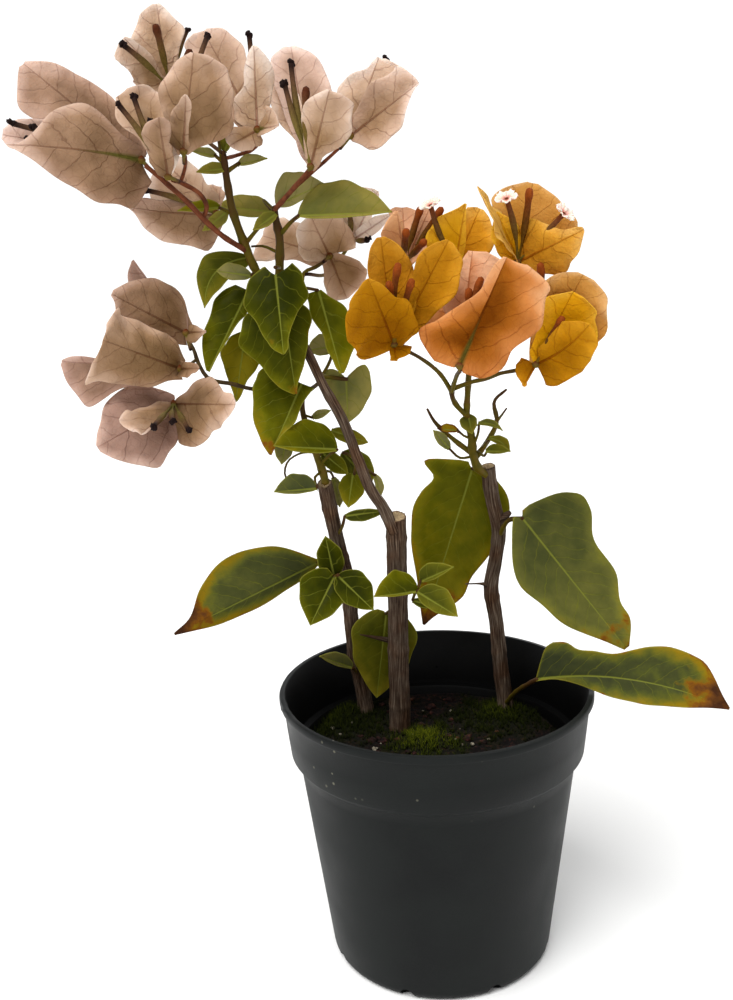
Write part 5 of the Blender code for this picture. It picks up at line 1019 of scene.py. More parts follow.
LEAFY["leaves_branch_lower"] = [
    [(-27.5, -7, 214.5, 1.8), (-29, 4, 211, 1.6), (-29, 9, 210, 1.4)],
    [(-29, 6, 211, 1.2), (-31.5, 9, 213.5, 1.2), (-34.5, 10, 214.5, 1.2)],
    [(-29, 6, 211, 1.2), (-30, 6, 206, 1.2)],
    [(-29, 6, 211, 1.2), (-21.5, 12, 204, 1.2)],
    [(-29, 6, 211, 1.2), (-31, 8, 221, 1.2)],
], [
    leaf((-38.5, 8, 224), (-24, 8, 218.5), 3, 3, peak=0.5, point=2.6, tone=0.6, olive=0.1),
    leaf((-34.5, 10, 214.5), (-23, 12, 200.5), 6.5, 5, peak=0.45, point=2.6, tone=0.35, olive=0.1),
    leaf((-30.5, 6, 206.5), (-33, 4, 193), 5.5, 5, peak=0.4, point=2),
    leaf((-22, 12, 204.5), (-19.5, 12, 195.5), 2.5, 1, peak=0.5, point=2.6, tone=1, olive=1),
]
LEAFY["leaf_by_cane_left"] = [
    [(-38.5, 13.5, 178, 1.4), (-35.5, 5, 185.5, 1.2), (-34.5, 2, 190, 1.2)],
], [
    leaf((-34.5, 2, 190), (-18, 4, 191), 2, 3, peak=0.4, point=2, tone=0, olive=0.1),
]
for name, (lines, leaves) in LEAFY.items():
    stems = [stem(line, swell=0.22 if line[0][3] > 1.8 else 0.1) for line in lines]
    fused(name + "_stems", stems, skin, "leaf", name)
    fused(name + "_blades", leaves, green, "leaf", name)

# Flower stalks.  Wiry branches that carry the sprays: reddish brown above, nearly black on the one that
# hangs to the left.
STALKS = {
    "stalks_upper_left": ("stalk_red", [
        [(-66.5, -4, 295.5, 2.2), (-74.5, -11, 301.5, 2), (-80, -14, 307, 2), (-84.5, -16, 312.5, 2),
         (-92, -21, 320.5, 1.8), (-98.5, -21.5, 326.5, 1.6)],
        [(-80.5, -14, 308, 1.6), (-79, -14, 312, 1.6), (-80, -15, 315, 1.6), (-86, -22, 320, 1.6),
         (-88, -30, 321, 1.6)],
        [(-86.5, -22, 320.5, 1.2), (-84, -26, 325.5, 1.2), (-83, -31, 328.5, 1.2)],
    ]),
    "stalk_upper_centre": ("stalk_red", [
        [(-71.5, -10.5, 328.5, 1.4), (-67.5, -3, 330, 1.4), (-63, -6, 331, 1.4), (-59, -12, 334, 1.3),
         (-59, -14, 335.5, 1.3)],
    ]),
    "stalk_upper_right": ("stalk_red", [
        [(-55, -7, 310, 2), (-47.5, -13, 317, 1.8), (-41, -19.5, 323, 1.6)],
        [(-47.5, -13, 317, 1.4), (-35, -13.5, 326.5, 1.2), (-28, -16.5, 332, 1.2)],
    ]),
    "stalk_hanging": ("stalk_dark", [
        [(-41, -8, 246, 1.6), (-49, 4, 240, 1.6), (-56, 7, 238, 1.6), (-64.5, 2, 242, 1.6),
         (-70, -6, 244.5, 1.6), (-74.5, -9, 246.5, 1.6), (-83.5, -11, 249.5, 1.6), (-87, -10, 255.5, 1.5),
         (-88.5, -9, 260.5, 1.4), (-89.5, -8.5, 262.5, 1.2)],
        [(-87.5, -10, 256.5, 1.2), (-91, -13, 254, 1.2)],
        [(-83.5, -11, 249.5, 1.2), (-89.5, -3, 244.5, 1.2), (-96, 0, 240.5, 1.2)],
    ]),
}
for slot, dark, light in (("stalk_red", "#4a2414", "#7a4228"), ("stalk_dark", "#2a1e10", "#4a3a1e")):
    # Thin ripened bark, smooth with a faint lengthwise streak.
    wire, tree, shader = surface(slot + "_bark", Roughness=0.6, Specular_IOR_Level=0.1)
    place = add(tree, "Attribute", out=1, attribute_name="place")
    streak = add(tree, "TexNoise", {"Vector": place, "Scale": 0.4, "Detail": 3.0})
    tone = add(tree, "ValToRGB", [streak], stops=[(0.3, dark), (0.7, light)])
    bump = add(tree, "Bump", {"Height": streak, "Strength": 0.3, "Distance": 0.0003})
    link(shader, Base_Color=tone, Normal=bump)
    for name, (kind, lines) in STALKS.items():
        if kind == slot:
            parts = [stem(line, swell=0.15) for line in lines]
            fused(name + "_wires", parts, wire, slot, name)

# Bracts and flowers.  Each bloom is three or four papery bracts round a small heart, most with slender
# flower tubes in front: withered and black-headed on the white sprays, with a few in bud, and in bud or
# open on the orange ones.


def bract(tip, left, right, **form):
    """One bract of a bloom, by its tip, its half widths and its form."""
    return tip, left, right, form


def bract_skin(name, plain, flushed, vein, root, pale, reach, drain):
    """Papery bract, matt, with fine veins darker than the paper.  It is paler and drained of colour at the
    margin and towards the tip, and deeper towards its foot: partly the paper's own colour and partly
    painted light, a glow of light through the thin margin and shade at the foot where the bracts overlap.
    Each bract has its own place between light and dark and between the plain and the flushed shades.  pale
    is how far the margin fades, over reach mm, and drain how much of its colour it loses there.  vein is
    the share of the paper's light that a vein keeps, and root the olive at a bract's foot."""
    paper, tree, shader = surface(name, Roughness=0.62, Specular_IOR_Level=0.02, Subsurface_Weight=0.15,
                                  Subsurface_Radius=(1.0, 0.75, 0.5), Subsurface_Scale=0.001)
    place, share, midrib, side, net = veins(tree, pitch=9.0, lean=0.62, curl=0.035, fine=0.30)
    tint = add(tree, "Attribute", out=1, attribute_name="tint")
    tone, flush, olive = add(tree, "SeparateXYZ", [tint]).node.outputs
    along, _, limit = add(tree, "SeparateXYZ", [share]).node.outputs
    cloud = add(tree, "TexNoise", {"Vector": place, "Scale": 0.075, "Detail": 2.0})
    depth = add(tree, "Math", [cloud, 0.6, -0.3], operation="MULTIPLY_ADD")
    depth = add(tree, "Math", [depth, tone], operation="ADD")
    # Partly painted light: the paper is deeper at the foot, where bracts overlap and shade it, lighter
    # towards the tip, and paler and drained of colour at the hem, where light shines through the thin
    # margin.
    foot = add(tree, "MapRange", [along, 0.0, 1.0, 0.16, -0.22])
    depth = add(tree, "Math", [depth, foot], operation="ADD")
    hem = add(tree, "MapRange", [limit, reach, 0.0, 0.0, -pale])
    depth = add(tree, "Math", [depth, hem], operation="ADD", use_clamp=True)
    drained = add(tree, "MapRange", [along, 0.4, 1.0, 0.0, 0.25])
    drained = add(tree, "Math", [hem, -0.8, drained], operation="MULTIPLY_ADD")
    flush = add(tree, "Math", [drained, drain, flush], operation="MULTIPLY_ADD", use_clamp=True)
    body = add(tree, "ValToRGB", [depth], stops=plain)
    warm = add(tree, "ValToRGB", [depth], stops=flushed)
    body = add(tree, "Mix", {0: flush, 6: body, 7: warm}, out=2, data_type="RGBA")
    strong = add(tree, "MapRange", [along, 0.15, 1.0, 1.0, 0.5])
    lines = add(tree, "Math", [side, 0.46], operation="MULTIPLY")
    lines = add(tree, "Math", [net, 0.13, lines], operation="MULTIPLY_ADD", use_clamp=True)
    lines = add(tree, "Math", [midrib, 0.7, lines], operation="MULTIPLY_ADD", use_clamp=True)
    lines = add(tree, "Math", [lines, strong], operation="MULTIPLY")
    body = add(tree, "Mix", {0: lines, 6: body, 7: vein}, out=2, data_type="RGBA",
               blend_type="MULTIPLY")
    across = add(tree, "SeparateXYZ", [place], out=1)
    wide = add(tree, "MapRange", [along, 0.0, 0.5, 1.5, 0.1])
    away = add(tree, "Math", [across], operation="ABSOLUTE")
    near = add(tree, "Math", [away, wide], operation="DIVIDE")
    base = add(tree, "MapRange", [near, 1.3, 0.3, 0.0, 0.9])
    early = add(tree, "MapRange", [along, 0.55, 0.2])
    base = add(tree, "Math", [base, early], operation="MULTIPLY")
    base = add(tree, "Math", [base, olive], operation="MULTIPLY")
    body = add(tree, "Mix", {0: base, 6: body, 7: root}, out=2, data_type="RGBA")
    crinkle = add(tree, "TexNoise", {"Vector": place, "Scale": 0.26, "Detail": 3.0, "Roughness": 0.6})
    relief = add(tree, "Math", [lines, 0.8, crinkle], operation="MULTIPLY_ADD")
    bump = add(tree, "Bump", {"Height": relief, "Strength": 0.7, "Distance": 0.0012})
    link(shader, Base_Color=body, Normal=bump)
    return paper


PAPERS = {
    "bract_white": bract_skin(
        "bract_paper_white", [(0, "#ecdccc"), (0.33, "#c4a68a"), (0.66, "#967654"), (1, "#644a2c")],
        [(0, "#ead2c8"), (0.33, "#c8aa9c"), (0.66, "#987a6c"), (1, "#664c40")],
        vein="#bc9890", root="#54521e", pale=0.3, reach=6.0, drain=1.0),
    "bract_orange": bract_skin(
        "bract_paper_orange", [(0, "#dea612"), (0.33, "#cc9002"), (0.66, "#aa7100"), (1, "#824f00")],
        [(0, "#d0ab7d"), (0.33, "#be8a45"), (0.66, "#a26c25"), (1, "#824b0b")],
        vein="#cc9c60", root="#5c5412", pale=0.26, reach=6.0, drain=0.35),
    "bract_peach": bract_skin(
        "bract_paper_peach", [(0, "#e2a45c"), (0.33, "#ca7c26"), (0.66, "#a05a08"), (1, "#6a3400")],
        [(0, "#dcaa86"), (0.33, "#c08055"), (0.66, "#90542a"), (1, "#60320f")],
        vein="#cc9c80", root="#4c4818", pale=0.72, reach=15.0, drain=0.8),
}
# Diameters along a flower's tube and a bud's, from the foot, then the sizes of an open star.
TUBE = ((0.0, 1.1), (0.3, 1.1), (0.42, 1.9), (0.6, 2.3), (0.8, 1.9), (0.92, 1.8), (1.0, 1.9))
BUD = ((0.0, 1.1), (0.3, 1.1), (0.42, 2.1), (0.66, 2.4), (0.84, 2.3), (0.93, 2.9), (1.0, 2.2))
STAR_RINGS = 7
STAR_SPOKES = 60
STAR_HALF_THICK = 0.16
THROAT = 0.35
PETAL_REACH = 3.9


def flower(heart, head, kind, rust):
    """A slender flower tube that swells above its foot: withered with a dark crumpled head, a round bud,
    or open.  rust is how far a bud has turned from olive to rust."""
    run = Vector(head) - Vector(heart)
    bend = run.orthogonal().normalized() * rng.uniform(-0.06, 0.06) * run.length
    path = [(*(Vector(heart) + run * t + bend * 4 * t * (1 - t)), width)
            for t, width in (BUD if kind == "bud" else TUBE)]
    made = stem(path, sides=15, step=0.9, tone={"withered": 0.0, "bud": rust, "open": 0.5}[kind])
    if kind == "withered":
        verts, faces = [], []
        for _ in range(4):
            shift = Vector([rng.uniform(-0.7, 0.7) for _ in range(3)])
            centre = Vector(head) + shift + run.normalized() * 0.3
            lump(verts, faces, centre, rng.uniform(0.65, 1.05), flat=1.0, rough=0.8)
        count = len(verts)
        dark = {"verts": np.array(verts), "faces": faces, "place": np.zeros((count, 3)),
                "share": np.tile([1.0, 0.0, 0.0], (count, 1)), "tint": np.tile([0.0, 0.0, 1.0], (count, 1))}
        return [made, dark]
    return [made]


def star(head, facing):
    """The open mouth of a flower: five notched lobes with crimped edges."""
    facing = Vector(facing).normalized()
    side = facing.orthogonal().normalized()
    across = facing.cross(side)
    verts, place = [], []
    for layer in (STAR_HALF_THICK, -STAR_HALF_THICK):
        for i in range(STAR_RINGS + 1):
            for k in range(STAR_SPOKES):
                angle = 2 * math.pi * k / STAR_SPOKES
                lobed = 0.50 + 0.50 * abs(math.cos(2.5 * angle)) ** 0.7
                lobed -= 0.10 * math.exp(-(math.sin(2.5 * angle) / 0.16) ** 2)
                out = i / STAR_RINGS
                spread = lobed if out > 0.3 else 0.5 + (lobed - 0.5) * out / 0.3
                reach = THROAT + PETAL_REACH * out * spread
                lift = 1.1 * out ** 2 + 0.35 * out * math.sin(angle * 13) + layer
                outward = side * math.cos(angle) + across * math.sin(angle)
                verts.append(tuple(Vector(head) + outward * reach + facing * lift))
                place.append((out, 0.0, 0.0))
    rim = STAR_RINGS * STAR_SPOKES
    count = rim + STAR_SPOKES
    faces = []
    for k in range(STAR_SPOKES):
        after = (k + 1) % STAR_SPOKES
        for low in range(0, rim, STAR_SPOKES):
            high = low + STAR_SPOKES
            a, b, c, d = low + k, high + k, high + after, low + after
            faces += [(a, b, c, d), (count + d, count + c, count + b, count + a)]
        faces.append((rim + after, rim + k, count + rim + k, count + rim + after))
        faces.append((k, after, count + after, count + k))
    return {"verts": np.array(verts), "faces": faces, "place": np.array(place),
            "share": np.array(place), "tint": np.zeros((2 * count, 3))}


# Flower tube: olive green and softly mottled, browner upwards; buds are rust-brown, and spent heads are
# dry and almost black.
tube_skin, tree, shader = surface("flower_tube", Roughness=0.65, Specular_IOR_Level=0.08)
share = add(tree, "Attribute", out=1, attribute_name="share")
tint = add(tree, "Attribute", out=1, attribute_name="tint")
place = add(tree, "Attribute", out=1, attribute_name="place")
up = add(tree, "SeparateXYZ", [share], out=0)
kind, _, dead = add(tree, "SeparateXYZ", [tint]).node.outputs
spent = add(tree, "ValToRGB", [up], stops=[
    (0.0, "#6a6428"), (0.55, "#6c5a2c"), (0.84, "#5a3e2a"), (0.97, "#24140f")])
budding = add(tree, "ValToRGB", [up], stops=[
    (0.0, "#6c5210"), (0.55, "#5e3a0e"), (0.82, "#6c340e"), (0.95, "#863e10")])
tone = add(tree, "Mix", {0: kind, 6: spent, 7: budding}, out=2, data_type="RGBA")
tone = add(tree, "Mix", {0: dead, 6: tone, 7: "#1a0d0c"}, out=2, data_type="RGBA")
grain = add(tree, "TexNoise", {"Vector": place, "Scale": 1.2, "Detail": 3.0})
shade = add(tree, "MapRange", [grain, 0.3, 0.7, 0.75, 1.15])
tone = add(tree, "VectorMath", {0: tone, 3: shade}, operation="SCALE")
bump = add(tree, "Bump", {"Height": grain, "Strength": 0.5, "Distance": 0.0005})
link(shader, Base_Color=tone, Normal=bump)

# Star petals: thin and cream, flushed pink at the throat.
petal, tree, shader = surface("star_petal", Roughness=0.55, Subsurface_Weight=0.2, Subsurface_Scale=0.001)
share = add(tree, "Attribute", out=1, attribute_name="share")
up = add(tree, "SeparateXYZ", [share], out=0)
tone = add(tree, "ValToRGB", [up], stops=[
    (0.05, "#8a3c34"), (0.3, "#cf8d7c"), (0.6, "#eed2c2"), (1.0, "#f3e4d8")])
link(shader, Base_Color=tone)

PEDICEL = 1.4
KNOT_HALF = 1.2


def bloom(name, slot, heart, bracts, pedicel, flowers):
    """One bloom: bracts that spring from its heart, the thin stalk from there down to what carries it,
    and its flowers, each by its head and its state."""
    node = "bloom_" + name
    papers = [blade(heart, tip, left, right, **form) for tip, left, right, form in bracts]
    fused(node + "_bracts", papers, PAPERS[slot], slot, node)
    stalk = [stem([(*point, PEDICEL) for point in [heart] + pedicel], tone=0.0)]
    x, y, z = heart
    stalk.append(stem([(x, y, z - KNOT_HALF, 1.6), (x, y, z, 3.0), (x, y, z + KNOT_HALF, 1.6)],
                      sides=14, step=0.5))
    stars = []
    for head, kind in flowers:
        stalk += flower(heart, head, kind, rust=0.25 if slot == "bract_white" else 1.0)
        if kind == "open":
            stars.append(star(head, Vector(head) - Vector(heart)))
    fused(node + "_flowers", stalk, tube_skin, slot, node)
    if stars:
        fused(node + "_stars", stars, petal, slot, node)


bloom("white_far_left", "bract_white", (-100, -20, 328.5), [
    bract((-142.5, -34, 334.5), (7, 15.5, 17, 17.5, 13, 9.5, 4.5, 2, 0.5),
        (1.5, 5.5, 8, 14.5, 18.5, 13.5, 5, 0.5, 0.5), cup=-25, bow=4, lobe=4, tone=0.83, olive=1, worn=0.3),
    bract((-144, 2, 365), (3, 5, 5.5, 6.5, 10, 13, 13, 7, 2), (3, 6, 8, 10, 11, 9, 7, 4, 1), cup=20,
        tone=0.83, worn=0.4),
    bract((-148, -20, 339), (2, 2.5, 3, 3.5, 3.5, 3.5, 4, 4.5, 1.5),
        (0.5, 4.5, 5.5, 6, 6.5, 7.5, 6.5, 5.5, 2), cup=20, tone=0.68, worn=0.6),
], [(-96.5, -21.5, 324.5)], [((-135, -26, 340), "withered"), ((-142.5, -24, 342), "withered"),
    ((-137, -27, 336.5), "withered")])
bloom("white_top", "bract_white", (-89.5, -12, 353), [
    bract((-91.5, -14, 380.5), (2, 4.5, 7, 8.5, 10, 10, 7.5, 5, 1.5), (1.5, 3, 4, 5, 7, 8.5, 5.5, 3, 1),
        cup=20, tone=0.58),
    bract((-102.5, -20, 369), (2.5, 5, 7.5, 8.5, 8, 7, 8, 7.5, 3), (1, 1.5, 1, 2, 3, 3, 2, 1.5, 0.5),
        cup=35, tone=0.7),
    bract((-101, -18, 355), 3, 8, cup=-20, peak=0.5, tone=0.7),
], [(-80, -10, 337), (-71.5, -11, 329.5)], [((-101, -30, 365), "withered"), ((-90.5, -26, 371.5), "bud"),
    ((-82, -10, 372.5), "withered"), ((-80.5, -16, 364.5), "bud")])
bloom("white_left", "bract_white", (-89, -34, 322), [
    bract((-88, -50, 339.5), (4, 5, 6, 6, 7, 7.5, 6, 3, 0.5), (0.5, 2, 3, 3, 2, 3, 3.5, 3.5, 2), cup=-35,
        tone=0.93, worn=0.1),
    bract((-106, -24, 349.5), (0.5, 1.5, 2, 1.5, 1.5, 4, 4, 2, 0.5),
        (1.5, 4, 7, 9.5, 12.5, 14, 12.5, 10.5, 4.5), cup=10, tone=0.75),
    bract((-88.5, -22, 342), 4, 3.5, cup=-20, peak=0.5, tone=0.2),
], [(-86.5, -27, 320.5)], [((-103.5, -34, 345.5), "withered"), ((-99, -30, 348), "withered"),
    ((-92.5, -40, 339.5), "withered")])
bloom("white_upper", "bract_white", (-83, -34, 330), [
    bract((-77, -36, 361), (1.5, 4.5, 6.5, 9, 11, 10.5, 8, 4.5, 1),
        (1, 4.5, 12.5, 15.5, 15.5, 14.5, 13, 10.5, 4.5), cup=-30, lobe=2, tone=0.83, worn=0.1),
    bract((-79, -48, 346.5), (5.5, 7.5, 7, 6, 5.5, 4.5, 2.5, 1.5, 0.5),
        (0.5, 2, 1.5, 1.5, 1.5, 2, 2, 1.5, 0.5), cup=-30, tone=0.83),
    bract((-72, -22, 352.5), 5.5, 5.5, cup=20, peak=0.5, tone=0.6),
], [(-84, -27.5, 326.5)], [((-74.5, -14, 369.5), "withered")])
bloom("white_centre", "bract_white", (-59, -16, 337.5), [
    bract((-78, 4, 374), (3.5, 5.5, 6.5, 6.5, 6.5, 7, 7.5, 8.5, 4), (2, 3.5, 5.5, 7, 8.5, 10, 8.5, 6, 1.5),
        cup=20, tone=0.68, worn=0.2),
    bract((-58, -22, 364.5), (2.5, 8, 8.5, 8, 4.5, 4, 3, 2, 0.5), (1, 2.5, 4, 5.5, 6.5, 6.5, 5.5, 3, 1),
        cup=-25, tone=0.55),
    bract((-68, -24, 332), (4, 5, 5, 5, 5, 4, 3.5, 2.5, 1), (1.5, 2.5, 4, 6, 6.5, 5.5, 4.5, 3.5, 1.5),
        cup=-30, tone=0.78),
    bract((-51, -20, 338.5), (2.5, 4.5, 6, 7, 7, 7, 5.5, 4, 1), (3, 2.5, 2.5, 2, 2, 1.5, 1, 0.5, 0.5),
        cup=20, tone=0.7, olive=1),
], [(-59, -12.5, 334)], [((-60, -14, 369), "withered")])
bloom("white_right", "bract_white", (-40.5, -22.5, 324), [
    bract((-46.5, 4, 367.5), (0.5, 3, 4, 5.5, 7, 8.5, 8.5, 7.5, 3),
        (2, 4.5, 7.5, 10.5, 12.5, 11, 9, 5.5, 1.5), cup=20, tone=0.58, worn=0.5),
    bract((-54, 0, 356.5), (0.5, 0.5, 0.5, 2, 4, 4.5, 3.5, 2, 0.5), (0.5, 2, 4, 5.5, 6, 6.5, 5.5, 5, 2.5),
        cup=20, tone=0.6),
    bract((-32.5, -36, 347.5), (1, 2, 4, 5.5, 7.5, 8, 6, 3, 1),
        (1.5, 3, 3.5, 8.5, 10.5, 10.5, 9.5, 8, 3.5), cup=-25, lobe=2, tone=0.65),
], [(-41.5, -18.5, 322.5)], [((-45.5, -23, 358), "withered"), ((-48, -25, 351.5), "withered"),
    ((-40.5, -28, 349.5), "bud")])
bloom("white_far_right", "bract_white", (-26, -20, 334), [
    bract((-2.5, -34, 349), (0.5, 3, 5.5, 7.5, 9, 9, 8.5, 7.5, 2),
        (0.5, 4.5, 9.5, 10.5, 10, 7.5, 3.5, 1, 0.5), cup=25, lobe=2, tone=0.65, worn=0.2),
    bract((-15, -12, 360.5), (1, 3.5, 6, 8.5, 10, 7, 2.5, 1.5, 0.5),
        (1, 2.5, 4, 6, 8.5, 10.5, 11.5, 10.5, 2.5), cup=20, worn=0.1),
    bract((-11.5, 4, 350.5), 5, 5, cup=20, peak=0.5, tone=0.4),
], [(-30, -16, 330)], [((-12.5, -6, 360.5), "withered")])
bloom("white_low_left", "bract_white", (-77.5, -1, 309.5), [
    bract((-108, -10, 313), (3.5, 11.5, 12.5, 12, 11, 9.5, 6.5, 2, 0.5),
        (2, 3.5, 4, 5, 5, 4.5, 4.5, 3, 0.5), cup=-20, sweep=1, lobe=3, tone=0.68, worn=0.2),
    bract((-96, 2, 329.5), (0.5, 3, 5, 7.5, 11.5, 13.5, 12.5, 9.5, 4), (2, 5, 5.5, 5.5, 6.5, 7, 6, 4, 1.5),
        cup=20, tone=0.53),
    bract((-76, 8, 319.5), (1.5, 3.5, 4, 5, 6, 6, 6.5, 6.5, 3), (1, 1, 1.5, 1.5, 2, 2.5, 1.5, 0.5, 0.5),
        cup=20, tone=0.73),
], [(-70.5, -8, 310)], [((-101, -8, 318.5), "withered")])
bloom("white_back", "bract_white", (-36, 12, 292), [
    bract((-42.5, 4, 307.5), (2, 4, 9.5, 10, 10, 8.5, 7, 4.5, 1), (11.5, 12, 12, 12.5, 12, 11, 8.5, 5, 2),
        cup=-25, lobe=4, tone=0.53),
    bract((-30, 4, 276), (1.5, 4, 8, 10.5, 11.5, 10.5, 7.5, 3, 0.5), (1.5, 3.5, 4, 5, 6, 6.5, 7, 5, 1),
        cup=-20, lobe=2, tone=0.68),
    bract((-63.5, 34, 300.5), (3.5, 5.5, 6, 6, 7, 8.5, 10, 10.5, 5), (2.5, 4, 5.5, 7, 8.5, 9, 9.5, 7, 2.5),
        cup=20, tone=0.6),
], [(-38.5, 6, 290)], [])
bloom("white_behind_leaf", "bract_white", (-27, 20, 297.5), [
    bract((-16.5, 12, 315.5), (2.5, 5.5, 8.5, 12, 13, 12.5, 10.5, 6, 2),
        (1.5, 2.5, 3.5, 4, 3, 2, 1.5, 1.5, 0.5), cup=20, tone=0),
    bract((-11.5, 4, 307), 3, 3, cup=20, peak=0.5, tone=0, worn=0.3),
    bract((-29, 26, 314.5), 5.5, 5.5, cup=20, peak=0.5, tone=0.6),
], [(-35.5, 19, 286.5), (-45.5, -2, 286)], [((-27.5, 12, 308.5), "withered"),
    ((-21, 8, 297.5), "withered")])
bloom("hanging_top", "bract_white", (-91, -8, 266.5), [
    bract((-115, -20, 282.5), (4, 5.5, 6.5, 8, 8.5, 8, 6.5, 2, 0.5), (2.5, 6, 11, 14, 14, 12, 9, 4.5, 1.5),
        cup=-30, lobe=3, tone=0.95, worn=0.2),
    bract((-111, 4, 293.5), (2, 3, 4.5, 5.5, 6.5, 6.5, 6, 3.5, 0.5),
        (1, 4, 5, 4.5, 2.5, 0.5, 0.5, 0.5, 0.5), cup=20, tone=0.93, worn=0.6),
    bract((-83, -12, 267), (3, 3, 3, 3, 2.5, 1.5, 1, 0.5, 0.5), (3, 4, 4, 4, 3.5, 2.5, 1.5, 0.5, 0.5),
        cup=-20, tone=1),
], [(-89.5, -9, 260)], [])
bloom("hanging_middle", "bract_white", (-93, -16, 254), [
    bract((-114.5, -42, 268), (3.5, 5.5, 9.5, 11, 12.5, 13, 14.5, 17, 9),
        (4, 9, 10.5, 11, 11.5, 11.5, 12, 12.5, 6), cup=-30, lobe=3, tone=0.83, ruffle=1.6),
    bract((-142.5, 6, 256), (2, 5, 6.5, 8, 11.5, 17.5, 12.5, 6.5, 1.5),
        (2, 2, 1.5, 1, 1.5, 2, 2.5, 2, 0.5), cup=20, tone=1, worn=0.6),
    bract((-84, -30, 255.5), (3, 3, 2.5, 2.5, 2.5, 2, 2, 1.5, 0.5),
        (3, 3.5, 3.5, 3.5, 3.5, 3, 2, 1.5, 0.5), cup=20, tone=1),
], [(-90, -11.5, 254.5)], [])
bloom("hanging_low", "bract_white", (-98.5, -3, 239), [
    bract((-126.5, -16, 225.5), (2.5, 6, 12, 15.5, 18, 14.5, 10.5, 6, 2),
        (1.5, 7.5, 12.5, 14.5, 15.5, 13, 8, 4.5, 1), cup=-15, lobe=3, tone=0.83, worn=0.9),
    bract((-106.5, -30, 232.5), (1, 1.5, 1.5, 2, 1.5, 1.5, 1, 1, 0.5),
        (1.5, 4.5, 6.5, 9, 11, 12, 11, 9.5, 3.5), cup=-25, tone=0.75, worn=0.1),
    bract((-71.5, -34, 242.5), (0.5, 3, 5.5, 10, 10.5, 7, 4.5, 4, 1.5),
        (13, 15, 17, 16.5, 12, 9.5, 7, 4, 1), cup=-25, lobe=2, tone=0.8, worn=0.1),
], [(-94, -1, 242)], [((-95.5, -26, 236), "withered"), ((-90, -26, 232.5), "withered"),
    ((-101.5, -32, 235.5), "withered")])
bloom("orange_left", "bract_orange", (-13.5, -32, 261.5), [
    bract((-22, -58.5, 286), (0.5, 11.5, 14, 14.5, 15, 13.5, 10.5, 8, 3),
        (2, 7.5, 10, 11, 10, 6.5, 4.5, 2.5, 0.5), cup=25, lobe=2, tone=0.95, worn=0.1),
    bract((-17, -34, 299), (1, 2, 3, 4.5, 5.5, 6, 5.5, 4, 1.5), (1, 4, 7, 9.5, 10, 10, 8.5, 5.5, 1.5),
        cup=25, tone=0.93, worn=0.3),
    bract((6, -40, 297), (1.5, 2, 3, 3.5, 5, 6, 6.5, 4, 1), (2.5, 4, 5.5, 7.5, 9.5, 11, 9.5, 7, 2), cup=20,
        tone=0.85, worn=0.2),
    bract((-13, -38, 256.5), (6, 6, 6.5, 6, 5, 4, 2, 0.5, 0.5), (2, 2, 2, 2, 2, 2, 2, 2, 0.5), cup=-20,
        tone=0.88),
], [(-10, -28.5, 259)], [((-11.5, -44, 290), "bud"), ((-15, -47, 284), "bud"), ((-7, -44, 284.5), "bud")])
bloom("orange_centre", "bract_peach", (9, -40, 254), [
    bract((23.5, -58, 291), (1.5, 7.5, 17, 14, 8.5, 4, 3.5, 2.5, 1),
        (2, 7.5, 13.5, 15, 19, 19.5, 18, 15.5, 7), cup=-10, lobe=9, tone=1, olive=1, worn=0.1),
    bract((15, -32, 293), (0.5, 1, 3, 5, 8, 4.5, 3, 3, 1.5), (0.5, 1, 2.5, 3.5, 5, 7, 9, 10, 5), cup=20,
        fold_left=-20, tone=0.75, worn=1),
    bract((6, -26, 278.5), (0.5, 2, 7.5, 11, 12, 11.5, 8.5, 3.5, 0.5),
        (0.5, 2, 4, 5.5, 7, 8.5, 7.5, 6.5, 3), cup=-10, tone=0.62),
], [(10, -30, 250.5)], [((12.5, -42, 280.5), "bud"), ((17, -41, 284), "bud")])
bloom("orange_right", "bract_orange", (36.5, -36, 253), [
    bract((51.5, -44, 284), (2.5, 4.5, 6, 7.5, 9, 11, 11, 7, 2),
        (5.5, 10, 13.5, 15.5, 16, 15.5, 13, 10, 4), cup=20, tone=0.6, worn=0.9),
    bract((47.5, -47, 278.5), (0.5, 3.5, 4.5, 5, 6, 7, 7.5, 3.5, 0.5),
        (4.5, 8.5, 12, 14, 15, 14, 11.5, 10, 4.5), cup=20, tone=0.45),
    bract((50.5, -60, 268.5), (1.5, 3.5, 5, 6, 7.5, 7.5, 5.5, 3, 0.5),
        (8, 10, 10.5, 10, 10, 9, 7.5, 6, 2.5), cup=-20, sweep=-1.5, lobe=3, tone=0.83, worn=0.1),
    bract((31.5, -40, 246), (0.5, 0.5, 0.5, 0.5, 0.5, 0.5, 0.5, 1, 0.5),
        (5.5, 5.5, 6, 6, 5.5, 4.5, 3, 1, 0.5), cup=-20, tone=1, worn=0.1),
], [(34, -31.5, 251.5)], [((44, -47, 270), "bud"), ((37.5, -40, 288), "bud")])
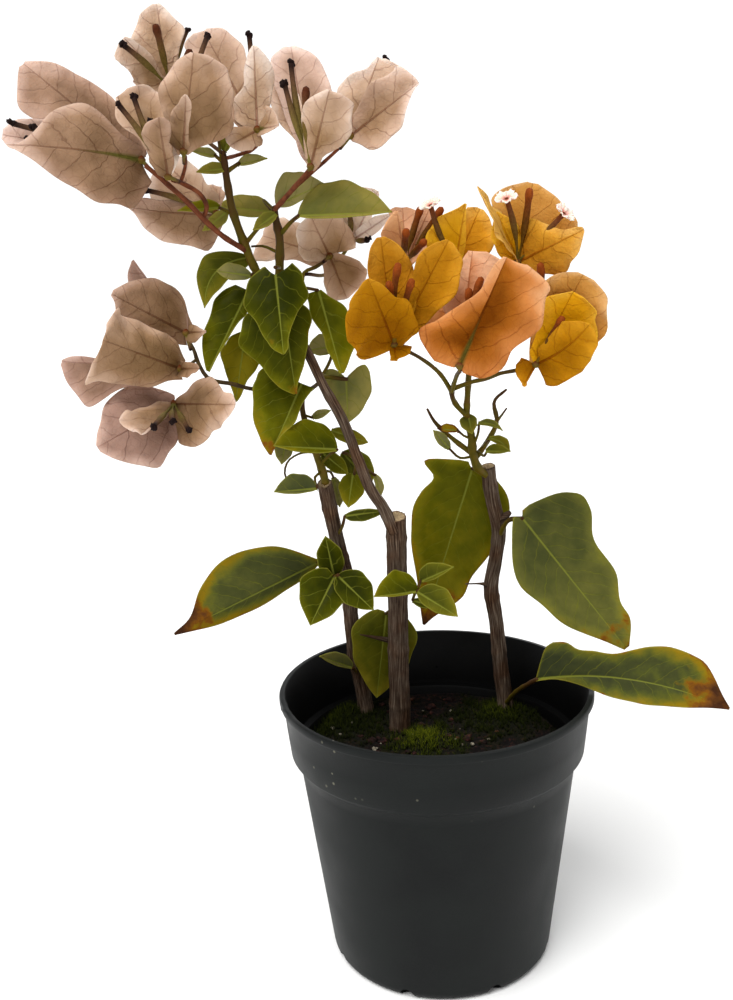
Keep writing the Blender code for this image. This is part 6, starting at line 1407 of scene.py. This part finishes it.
bloom("orange_top", "bract_orange", (31.5, -28, 288.5), [
    bract((38, -20, 315.5), (1, 4.5, 7.5, 10.5, 12.5, 14, 11, 6.5, 2),
        (3.5, 9, 13.5, 17.5, 18, 15.5, 10.5, 6, 2), cup=20, tone=0.6, worn=1),
    bract((50.5, -48, 299), (2, 9, 11.5, 12, 8.5, 4, 2.5, 2, 1), (0.5, 5, 7, 8.5, 10.5, 8.5, 6.5, 3.5, 1),
        cup=-20, lobe=2, tone=0.58, worn=0.4),
    bract((16.5, -38, 314.5), 7.5, 7.5, turn=62, cup=10, peak=0.5, tone=0, worn=0.3),
    bract((24, -30, 306), 6, 5, cup=20, peak=0.5, tone=0.25),
], [(25.5, -24, 284.5), (18, -20, 284)], [((26, -40, 310), "open"), ((34.5, -36, 313), "bud"),
    ((45.5, -40, 304.5), "open")])
bloom("orange_middle_top", "bract_orange", (10, -20, 288.5), [
    bract((13, -30, 309), (3, 6.5, 10.5, 12, 11.5, 10, 7, 2.5, 0.5),
        (0.5, 2, 2.5, 2.5, 2, 1.5, 1, 0.5, 0.5), cup=20, tone=0),
    bract((19.5, -16, 307.5), (1.5, 2, 3, 3.5, 3.5, 4, 4, 4, 1),
        (2.5, 5, 7.5, 9.5, 10.5, 9, 6.5, 4.5, 1.5), cup=20, tone=0.53, worn=0.2),
    bract((7.5, -12, 302.5), 5, 5, cup=20, peak=0.5, tone=0.4),
], [(18, -19.5, 281)], [((1, -28, 309), "open")])
bloom("peach_top_left", "bract_peach", (-8, -18, 289.5), [
    bract((-11, -30, 307.5), (0.5, 2, 3, 4.5, 6, 7.5, 5.5, 3, 1),
        (1.5, 1.5, 1.5, 2, 2, 1.5, 1.5, 0.5, 0.5), cup=20, tone=0, worn=0.1),
    bract((-8, -8, 309), (0.5, 1.5, 2.5, 3.5, 5, 5, 5, 5, 2.5), (2, 3.5, 5.5, 6, 6.5, 6, 5.5, 4.5, 1.5),
        cup=20, tone=0, worn=1),
    bract((1.5, -16, 308.5), (0.5, 0.5, 1.5, 2.5, 3.5, 4, 4.5, 3.5, 1),
        (2.5, 3.5, 4.5, 5, 5.5, 5.5, 5, 4.5, 1.5), cup=20, tone=0, worn=0.5),
], [(-1, -14, 275.5), (10, -12, 263), (16, -13.5, 256.5)], [((-2, -20, 308.5), "bud"),
    ((5.5, -20, 308), "bud"), ((-8, -34, 301), "bud"), ((-1.5, -30, 297), "bud")])
